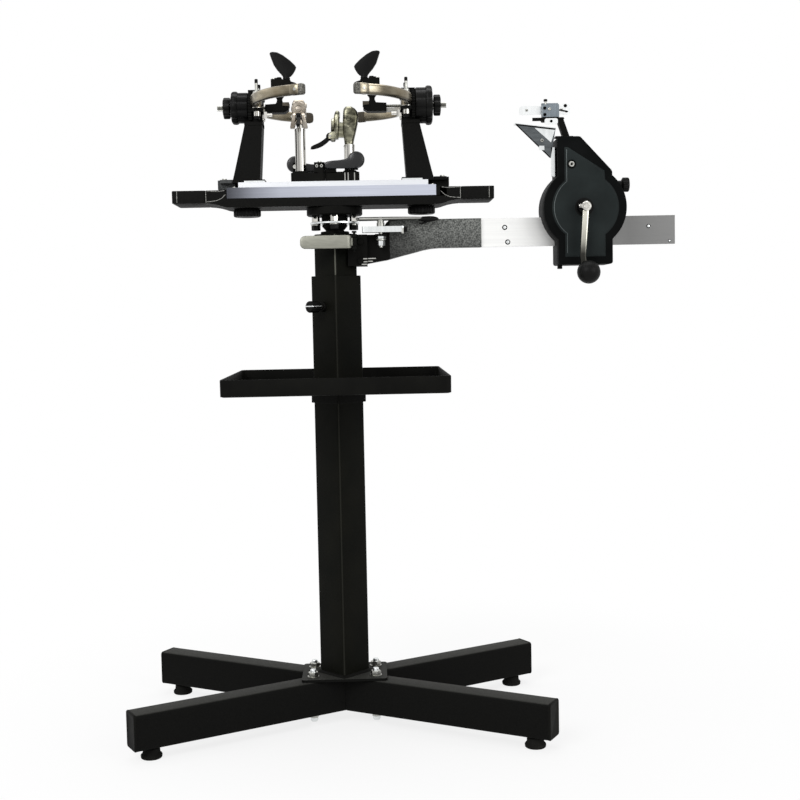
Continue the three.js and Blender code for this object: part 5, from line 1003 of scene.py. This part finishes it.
# String clamps, drawn about the post with the jaws opening towards -X
def clamp_base(label, post_x, degrees):
    """The sliding block with its cam lever."""
    s = Sketch(turned_z(degrees, post_x), label)
    plan = [(-46, -20), (-42, -23), (14, -23), (18, -19), (18, 19), (14, 23), (-42, 23), (-46, 20)]
    s.prism(plan, "z", 1040.5, 1058, BLACK, 1.6)
    s.prism(scaled(plan, 0.93, (-14, 0)), "z", 1057, 1058.8, BLACK, 0.5)
    s.prism([(-46, -20), (-42, -23), (-26, -23), (-26, 23), (-42, 23), (-46, 20)], "z", 1056.6, 1077, BLACK, 1.6)
    s.box(-25, 17, -11.6, 11.6, 1030, 1041, STEEL, 0.5)
    s.turn([(13, 1058.4), (13, 1061.4), (12, 1062.4), (9.7, 1062.4)], BLACK, sides=40)
    for x in (-10, -4, 8):
        s.box(x, x + 1.8, -23.5, -22.6, 1042, 1056.6, STEEL, 0.3)
    for y, sign in ((-22.8, -1), (22.8, 1)):
        for x in (-40, -31):
            s.screw((x, y, 1070), "y", 2.9, 1.6, sign=sign)
    for y in (-10, 10):
        s.screw((-36, y, 1077), "z", 4, 3)
    s.box(4, 16, -23, -14.6, 1062, 1081, BLACK, 1.4)
    s.turn([(3.9, -34.4), (3.9, -14)], ZINC, (12, 0, 1073.5), "y", 18)
    s.piece("slide_block", "clamp_base", "black_paint", "clamp_base")

    s = Sketch(turned_z(degrees, post_x), label)
    rings = []
    for x, low, high, half in (
        (10, 1063.6, 1092, 5.4), (4, 1063.6, 1089, 5.4), (-2, 1063.6, 1084, 5.2), (-8, 1063.6, 1081, 5),
        (-18, 1063.6, 1079.4, 4.8), (-34, 1063.8, 1078.4, 4.6), (-42, 1064.4, 1077, 4.2), (-46, 1066, 1075, 3.4)
    ):
        outline = rounded(2 * half, high - low, 2.6, 4, (-28.8, (low + high) / 2))
        rings.append([(x, y, z) for y, z in outline])
    s.loft(rings, LEVER)
    bulb = [
        (0.2, -35.2), (9, -35), (13.6, -33.6), (15.6, -31), (16, -28.8), (15.6, -26.4), (13.8, -24.2), (9, -23.3),
        (0.2, -23.2)
    ]
    s.turn(bulb, LEVER, (12.6, 0, 1079.4), "y", 48)
    s.piece("base_cam_lever", "base_lever", "knob_plastic", "base_lever")


def clamp_head(label, post_x, degrees, shoulder, bottom, top, metal, drop, slope):
    """The post, jaws and lever. drop is the length of the ears, and slope is how far the head leans per height."""
    middle = (bottom + top) / 2
    lever_z = min(bottom + 7, middle - 19.8)
    top = top - 3
    face_z = middle - 5
    crown = min(top, middle + 22)
    matrix = turned_z(degrees, post_x)
    lean = Matrix(((1, 0, slope, -slope * bottom), (0, 1, 0, 0), (0, 0, 1, 0), (0, 0, 0, 1)))

    s = Sketch(matrix, label)
    s.turn([(10.2, 1052), (10.2, shoulder - 1), (9.4, shoulder), (6, shoulder), (6, bottom + 6)], CHROME, sides=48)
    s.turn([(10.6, shoulder - 5), (10.6, shoulder - 2)], CHROME, sides=48)
    rise = top - bottom
    s.matrix = matrix @ lean
    s.stack(
        [
            (bottom - 13, -8.4, 8.4, 8.4, 8), (bottom - 12, -10.4, 10.4, 10.2, 9), (bottom - 7, -8.6, 8.6, 8.6, 8),
            (bottom, -9.6, 9.4, 9, 7), (bottom + 0.2 * rise, -12, 12, 11, 6),
            (bottom + 0.42 * rise, -13, 14.6, 12.6, 6), (bottom + 0.7 * rise, -13, 16.2, 13, 6),
            (top - 9, -12.8, 13.4, 13, 6), (top - 4, -12, 9.4, 11.8, 6), (top, -9, 3.4, 8, 5)
        ],
        metal
    )
    for y, z, r in ((-11, middle + 6, 4.6), (-10, middle - 7, 3.6), (9.6, middle + 3, 4.4)):
        end = 1.6 if y > 0 else -1.6
        s.turn(
            [(r, y), (r, y + end * 1.4), (r * 0.8, y + end * 2), (r * 0.4, y + end * 2)], metal, (-2, 0, z), "y", 24
        )
    s.turn([(3.6, top - 3), (4, top - 1.4), (3.6, top + 0.4), (1.6, top + 0.6)], metal, (-2.6, -2, 0), sides=20)
    s.turn([(5.4, 11), (5.4, 14.4), (4.4, 15.4), (2, 15.4)], ZINC, (0, 0, middle), "x", 24)
    s.piece("post", "clamp_post", "chrome", "clamp_post")

    s = Sketch(matrix @ lean, label)
    s.stack(
        [
            (bottom + 2, -28, -20.4, 8, 3.6), (bottom + 8, -30, -19.8, 11.4, 5),
            (middle - 4, -30.6, -19.4, 13, 5.4), (crown - 14, -30.4, -19.4, 13, 5.4),
            (crown - 7, -29.6, -19.6, 12.4, 4.8), (crown - 2, -28, -20.4, 10, 3.6), (crown, -26, -21.8, 7, 2)
        ],
        metal
    )
    s.box(-20.6, -9, -6, 6, bottom + 5, middle - 1, metal, 1.4)
    s.box(-20.2, -18.9, -10, 10, crown - 12, crown - 2.6, STEEL, 0.4)
    s.turn([(2.9, -20), (2.9, -4)], ZINC, (0, 0, middle), "x", 18)
    disc = [(11, -28.6), (13.4, -29.6), (13.8, -30.6), (13.8, -33.4), (12.8, -34.9), (6.8, -35), (6.4, -34.1)]
    disc += [(5.2, -34.1), (4.8, -35), (3, -35.2), (0.2, -35.3)]
    s.turn(disc, metal, (0, 0, face_z), "x", 64)
    lever_x = -36.3
    for way in (1, -1):
        s.loft(
            [
                [(x, way * y, z) for x, y in rounded(x1 - x0, y1 - y0, 2.4, 4, ((x0 + x1) / 2, (y0 + y1) / 2))]
                for z, x0, x1, y0, y1 in (
                    (lever_z - drop, -34, -27, 8.4, 16), (lever_z - drop + 3, -36, -26, 7.2, 16.4),
                    (lever_z - 5, -39.6, -25, 4.6, 13.4), (lever_z + 3, -40, -24, 4.5, 12),
                    (lever_z + 8, -35, -24, 4.5, 11)
                )
            ],
            metal
        )
    s.turn([(2.5, -14), (2.5, 14)], ZINC, (lever_x, 0, lever_z), "y", 18)
    s.piece("moving_jaw", "clamp_jaw", "satin_gold", "clamp_jaw")

    s = Sketch(matrix, label)
    fall, reach = math.radians(29), 42
    rings = []
    for i in range(17):
        t = i / 16
        x = lever_x - (reach * t) * math.cos(fall) + 2 * math.sin(math.pi * t)
        z = lever_z - (reach * t) * math.sin(fall) - 3 * math.sin(math.pi * t)
        h = 10 * (1 - t) + 7.6
        if t > 0.9:
            h -= 2.5 * (t - 0.9) / 0.1
        w = 7.4 - 1.4 * t
        rings.append([(x + v * math.sin(fall) * 0.6, u, z + v) for u, v in rounded(w, h, min(w, h) * 0.4, 4)])
    s.loft(rings, PLASTIC)
    s.turn([(6.6, -4), (7.4, -3), (7.4, 3), (6.6, 4)], PLASTIC, (lever_x, 0, lever_z), "y", 32)
    s.piece("cam_lever", "clamp_lever", "knob_plastic", "clamp_lever")


LEFT_CLAMP_X, RIGHT_CLAMP_X = -62, 31
clamp_base("left_", LEFT_CLAMP_X, 180)
clamp_base("right_", RIGHT_CLAMP_X, 0)
# The same clamp head, in the painted lit copy on the left and the painted shaded copy on the right.
clamp_head("left_", LEFT_CLAMP_X, 90, 1143, 1163, 1196, CLAMP_LIT_COPY, 21, 0)
clamp_head("right_", RIGHT_CLAMP_X, 0, 1112, 1120, 1185, CLAMP_SHADED_COPY, 8, 0.05)


# Tension head
HEAD = Matrix.Translation((471, 0, 0))
ROUND_Z = 981
ARC_STEPS = 20
CRANK_LINE = (-3, 0, ROUND_Z)
BALL_LINE = (-3, 0, 859)
DIAL_LINE = (0, -22, 1025)


def arc(radius, start, end):
    """Points on a round about the head's middle, from one angle to another in degrees."""
    angles = [math.radians(start + (end - start) * i / ARC_STEPS) for i in range(ARC_STEPS + 1)]
    return [(radius * math.cos(a), ROUND_Z + radius * math.sin(a)) for a in angles]


def head_outline(margin):
    """The casing's outline from its centre line, moved outwards by a margin."""
    half = 51 + margin
    radius = 78 + margin
    rise = math.degrees(math.atan2(math.sqrt(radius**2 - half**2), half))
    lean = margin * (math.sqrt(2) - 1)
    points = [
        (-half + 4, 875 - margin), (half - 4, 875 - margin), (half - 1.2, 876.2 - margin), (half, 879 - margin)
    ]
    points += arc(radius, -rise, rise)
    points += [(half, 1046 + lean), (half - 1.6, 1050 + lean)]
    points += [(-half + 43 + margin + lean, 1112 + margin), (-half + 39 + margin, 1113 + margin)]
    points += [(-half + 3, 1113 + margin), (-half, 1110 + margin)]
    points += arc(radius, 180 - rise, 180 + rise)
    points += [(-half, 879 - margin), (-half + 1.2, 876.2 - margin)]
    return points


s = Sketch(HEAD)
s.drawn(head_outline, [(-36.2, -0.6), (-35.6, 0), (17.5, 0), (19.4, -0.8), (20, -2.6)], GLOSS)
for x, z in ((-40, 885), (40, 885), (-40, 1100), (40, 1052)):
    s.turn([(4, 19.8), (4, 21.4), (3, 22.4), (1.6, 22), (1.6, 21)], ZINC, (x, 0, z), "y", 20)
s.box(-49, -41, -33, -23, 868, 875.4, BLACK, 1.4)
s.piece("housing", "tension_head", "housing_plastic", "rear_housing")

s = Sketch(HEAD)
s.drawn(head_outline, [(-36.4, -0.6), (-37, 0), (-56.6, 0), (-58.4, -0.8), (-59, -2.4)], GLOSS)


def panel_outline(margin):
    """The raised panel: a round middle, a foot below it and a sloping shoulder above."""
    radius = 60 - margin
    left, right = -36 + margin, 34 - margin
    top, bottom = 1090 - margin, 892 + margin
    rise_left = math.degrees(math.acos(-left / radius))
    rise_right = math.degrees(math.acos(right / radius))
    points = [(left, bottom), (right, bottom)]
    points += arc(radius, -rise_right, rise_right)
    points += [(right - 1, 1047 - margin * 0.5), (left + 6, top), (left, top)]
    points += arc(radius, 180 - rise_left, 180 + rise_left)
    return points


s.drawn(panel_outline, [(-58.6, -3.2), (-59.4, -2.6), (-61.2, 0.2), (-61.5, 1.0), (-61.3, 2.2)], PANEL)
# Painted highlight: a thin light line along the panel's left edge.
edge = [(x + 0.8, -61.2, z) for x, z in panel_outline(0)[-21:]]
s.tube([(-35.2, -61.2, 1088)] + edge + [(-35.2, -61.2, 896)], 0.5, PANEL_EDGE_PAINTED_HIGHLIGHT, 8)
s.screw((-26, -61.2, 1061), "y", 5.4, 3.4, sign=-1)
s.turn([(8.2, -60.6), (8.2, -61.9), (6.4, -62.1), (5.6, -61.7)], GLOSS, (-26, 0, 1061), "y", 32)
s.turn(
    [(17, -61), (17.4, -61.9), (15.4, -62.1), (8, -62.1), (7.4, -61.4), (7.4, -60)], PLASTIC, CRANK_LINE, "y", 40,
    close=True
)
s.piece("cover", "tension_head", "housing_plastic", "front_cover")

s = Sketch(HEAD)
s.turn([(12.8, -5), (13.2, -4.6), (13.2, 12.6), (12.8, 13)], STEEL, CRANK_LINE, "y", 40)
s.turn([(6.9, -76), (6.9, 0)], CHROME, CRANK_LINE, "y", 32)
s.turn([(14, -62), (14, -74.4), (13, -76.2), (8, -76.2)], PLASTIC, CRANK_LINE, "y", 48)
s.turn(
    [(8.2, -82.8), (9, -84), (9, -87.4), (8, -88.6), (4.6, -89), (4, -88), (0.2, -88)], CHROME, CRANK_LINE, "y", 40
)
s.tube([(-3, -80, ROUND_Z), (-14, -80, ROUND_Z + 1), (-16, -80, ROUND_Z + 1)], [4.6, 4.2, 3.2], CHROME, 16)
bar = []
crank_steps = 12
bend, after_bend, sway = 0.78, 0.22, 6.6
for i in range(crank_steps + 1):
    t = i / crank_steps
    z = ROUND_Z - 122 * t
    width = 12.4 - 1.4 * t
    if i == 0:
        z, width = ROUND_Z + 7, 7
    if i == crank_steps:
        z, width = ROUND_Z - 127, 6
    lean = -3 - sway * min(t / bend, 1) + (sway * (t - bend) / after_bend if t > bend else 0)
    bar.append([(lean + u, -79.5 + v, z) for u, v in rounded(width, 7, 2.6, 4)])
s.loft(bar, CRANK)
s.turn([(3.9, -82), (3.9, -102)], CHROME, BALL_LINE, "y", 24)
s.piece("crank_arm", "crank", "chrome", "crank")

s = Sketch(HEAD)
ball = []
ball_radius, ball_middle, ball_neck = 21.5, -103.4, -85.4
for i in range(25):
    a = math.pi * i / 24
    y = ball_middle - ball_radius * math.cos(math.pi - a)
    if y <= ball_neck:
        ball.append((max(ball_radius * math.sin(a), 0.2), y))
ball = [(11.6, -84.6)] + sorted(ball, key=lambda p: -p[1])
s.turn(ball, PLASTIC, BALL_LINE, "y", 56)
s.turn([(8.4, -83.6), (8.8, -84.4), (8.4, -86)], ZINC, BALL_LINE, "y", 32)
s.piece("ball_grip", "crank_ball", "knob_plastic", "ball_knob")

s = Sketch(HEAD)
s.turn([(4, 50.4), (4, 62)], ZINC, DIAL_LINE, "x", 20)
s.turn([(7.6, 51.4), (7.6, 56), (6.4, 58)], PLASTIC, DIAL_LINE, "x", 28)
s.turn(
    [(7, 62), (8, 63.4), (8, 74), (11.6, 76), (13, 77.2), (13, 87), (12, 88.6), (9, 89), (8.4, 88.2), (0.2, 88.2)],
    PLASTIC, DIAL_LINE, "x", 96, wave=knurled(0.045, 20, range(4, 7))
)
s.piece("setting_dial", "setting", "knob_plastic", "setting_knob")

# Gripper on its leaning stand
s = Sketch(HEAD)
s.prism([(-37, 1113), (-24.6, 1113), (-36.6, 1147.6), (-48.6, 1147.6)], "y", -38, -22, BLACK, 1)
s.box(-52, -19, -39, -21, 1113, 1116, BLACK, 0.8)
s.prism(
    [(-78, 1146.8), (-36.8, 1146.8), (-34.6, 1148.6), (-36.8, 1151.2), (-78, 1151.2)], "y", -38, -22, BLACK, 0.7
)
for x in (-70, -52):
    s.turn([(3.2, 1146.8), (3.2, 1144.4), (2.4, 1143.6)], ZINC, (x, -30, 0), sides=18)
s.piece("gripper_post", "tension_head", "black_paint", "gripper_stand")

s = Sketch(HEAD)
s.box(-76, -45, -27.5, -19.5, 1151.5, 1179, GRIPPER, 0.9)
s.prism(
    [(-118, 1160.4), (-112, 1158.6), (-76, 1159), (-76, 1174.6), (-112, 1175.4), (-118, 1172)], "y", -23.4, -19.6,
    PALE, 0.6
)
s.prism(
    [(-46, 1159), (-34, 1159.4), (-30, 1162), (-30, 1172), (-34, 1175), (-46, 1175)], "y", -23.4, -19.6, PALE, 0.6
)
for x, z in ((-104, 1167), (-38, 1167)):
    s.turn([(2.6, -23.3), (2.6, -24.4), (1.8, -25)], ZINC, (x, 0, z), "y", 18)
    # Painted shade: a dark disc in each screw's socket.
    s.turn([(1.1, -25), (1.1, -25.2)], DARK_PARTS_AND_SHADE, (x, 0, z), "y", 6)
s.box(-94, -78, -30, -27, 1146, 1152, BLACK, 0.8)
s.prism(rounded(36, 8, 3.6, 5, (-60, 1147.4)), "y", -37, -23, BLACK, 1)
s.prism(rounded(25, 11, 4, 5, (-60, 1143.6)), "y", -40, -37, PALE, 1)
s.turn([(2.6, -39.8), (2.6, -40.8), (1.8, -41.4), (0.4, -41.2)], DARK_PARTS_AND_SHADE, (-60, 0, 1143.8), "y", 20)
s.prism(
    [(-36, 1158), (-25, 1158.4), (-22, 1161), (-22, 1176), (-25, 1178.6), (-36, 1179)], "y", -22, -19.8, PALE, 0.6
)
s.turn([(3, -22), (3, -24.6), (2, -25.4), (0.4, -25.2)], DARK_PARTS_AND_SHADE, (-30.5, 0, 1174.6), "y", 20)
s.tube([(-42, -25, 1166.8), (-26, -25, 1163.4)], 1.3, DARK_PARTS_AND_SHADE, 10)
s.piece("gripper_back", "tension_head", "steel", "gripper_body")

s = Sketch(HEAD)
s.box(-76, -45, -40.4, -32.5, 1151.6, 1175, GRIPPER, 0.9)
for x, z in ((-63, 1166), (-72, 1168), (-72, 1156)):
    s.turn(
        [(2.9, -40.2), (2.9, -41.6), (2.2, -42.2), (1.5, -42), (1.4, -41.2)], ZINC if x == -63 else DARK_PARTS_AND_SHADE, (x, 0, z),
        "y", 20
    )
s.turn([(2, 1174), (2, 1182), (1.4, 1183)], ZINC, (-70, -36.4, 0), sides=18)
s.turn([(3.6, 1181), (3.6, 1184), (2.8, 1185)], BLACK, (-70, -36.4, 0), sides=20)
s.piece("gripper_front", "gripper_jaw", "steel", "gripper_jaw")

s = Sketch(HEAD)
triangle = [(-62, 1075), (-52, 1130), (-128, 1140)]
s.prism(triangle, "y", -41.3, -38.3, SHEET, 0.5)
s.prism([(-128.6, 1139), (-51.6, 1129), (-51.6, 1131.4), (-128.6, 1141.4)], "y", -41.3, -22, BRIGHT, 0.5)
s.prism([(-61, 1104), (-53.6, 1127), (-92, 1131.6)], "y", -42, -41.2, BRIGHT, 0.2)
s.tube([(-63, -41.4, 1076), (-127, -41.4, 1139)], 1.1, DARK_PARTS_AND_SHADE, 8)
s.tube([(-127, -41.6, 1138.6), (-53, -41.6, 1128.8)], 1.3, DARK_PARTS_AND_SHADE, 8)
s.screw((-78, -41.3, 1108), "y", 3.2, 1.8, sign=-1)
s.box(-61.3, -51.4, -41.3, -38.3, 1041, 1095, BRIGHT, 0.5)
s.box(-54.3, -51.4, -41.3, -22, 1041, 1095, BRIGHT, 0.5)
s.box(-84, -74, -43, -41.2, 1090, 1098, BRIGHT, 0.4)
s.piece("guide_plate", "tension_head", "steel", "string_guide")


# Floor, world, lamps and camera
WHITE = (1, 1, 1, 1)


def backdrop_mask(tree):
    """1 for rays that should see the plain white backdrop."""
    path = new_node(tree, "LightPath")
    total = path.outputs["Is Camera Ray"]
    for name in ("Is Glossy Ray", "Is Transmission Ray"):
        total = new_node(tree, "Math", {0: total, 1: path.outputs[name]}, operation="MAXIMUM").outputs[0]
    return total


bpy.ops.mesh.primitive_plane_add(size=24, location=(0, 0, -0.0004))
floor = bpy.context.object
floor.name = "studio_floor"
floor_material = bpy.data.materials.new("pale_floor")
floor_material.use_nodes = True
tree = floor_material.node_tree
base = tree.nodes["Principled BSDF"]
feed(base, {"Base Color": (0.86, 0.86, 0.86, 1), "Roughness": 0.9, "Specular IOR Level": 0.1})
glow = new_node(tree, "Emission", {"Color": WHITE})
place = new_node(tree, "TexCoord").outputs["Object"]
distance = new_node(tree, "VectorMath", {0: place}, operation="LENGTH").outputs["Value"]
limits = {"From Min": 0.35, "From Max": 1.1, "To Min": 0.8, "To Max": 1.0}
fade = new_node(tree, "MapRange", {"Value": distance, **limits}, interpolation_type="SMOOTHSTEP")
factors = {0: backdrop_mask(tree), 1: fade.outputs["Result"]}
share = new_node(tree, "Math", factors, operation="MULTIPLY").outputs[0]
blend = new_node(tree, "MixShader", {"Fac": share, 1: base.outputs["BSDF"], 2: glow.outputs["Emission"]})
feed(tree.nodes["Material Output"], {"Surface": blend.outputs["Shader"]})
floor.data.materials.append(floor_material)

world = bpy.data.worlds.new("studio")
bpy.context.scene.world = world
world.use_nodes = True
tree = world.node_tree
level = new_node(tree, "MapRange", {"Value": backdrop_mask(tree), "To Min": 0.5, "To Max": 1.0})
feed(tree.nodes["Background"], {"Color": WHITE, "Strength": level.outputs["Result"]})


def lamp(name, place, size, watts):
    """An area lamp aimed at the middle of the machine."""
    light = bpy.data.lights.new(name, "AREA")
    light.shape = "RECTANGLE"
    light.size, light.size_y = size
    light.energy = watts
    thing = bpy.data.objects.new(name, light)
    bpy.context.collection.objects.link(thing)
    thing.location = place
    thing.rotation_euler = (Vector(LAMP_AIM) - Vector(place)).to_track_quat("-Z", "Y").to_euler()


LAMP_AIM = (0, 0, 0.8)
lamp("key_light", (-1.7, -2.6, 2.6), (1.6, 1.6), 60)
lamp("fill_light", (2.2, -2.2, 1.6), (1.6, 1.6), 28)
lamp("top_light", (0, 0.4, 3.2), (2.2, 1.6), 35)

CAMERA_PLACE = (60.24, -2410.48, 792.98)
YAW, PITCH, ROLL = (math.radians(v) for v in (1.3714, 4.0387, 1.1262))
FOCAL_PIXELS = 1251.62
PICTURE_PIXELS = 800
SENSOR_WIDTH = 36
ahead = Vector((math.sin(YAW) * math.cos(PITCH), math.cos(YAW) * math.cos(PITCH), -math.sin(PITCH)))
right = Vector((math.cos(YAW), -math.sin(YAW), 0))
up = right.cross(ahead)
across = right * math.cos(ROLL) - up * math.sin(ROLL)
upward = right * math.sin(ROLL) + up * math.cos(ROLL)
camera_data = bpy.data.cameras.new("camera")
camera_data.sensor_width = SENSOR_WIDTH
camera_data.lens = FOCAL_PIXELS * SENSOR_WIDTH / PICTURE_PIXELS
camera_data.clip_end = 60
camera = bpy.data.objects.new("camera", camera_data)
bpy.context.collection.objects.link(camera)
turn = Matrix((across, upward, -ahead)).transposed().to_4x4()
camera.matrix_world = Matrix.Translation(TO_ROW @ Vector(CAMERA_PLACE)) @ turn
bpy.context.scene.camera = camera
bpy.context.scene.view_settings.view_transform = "Standard"
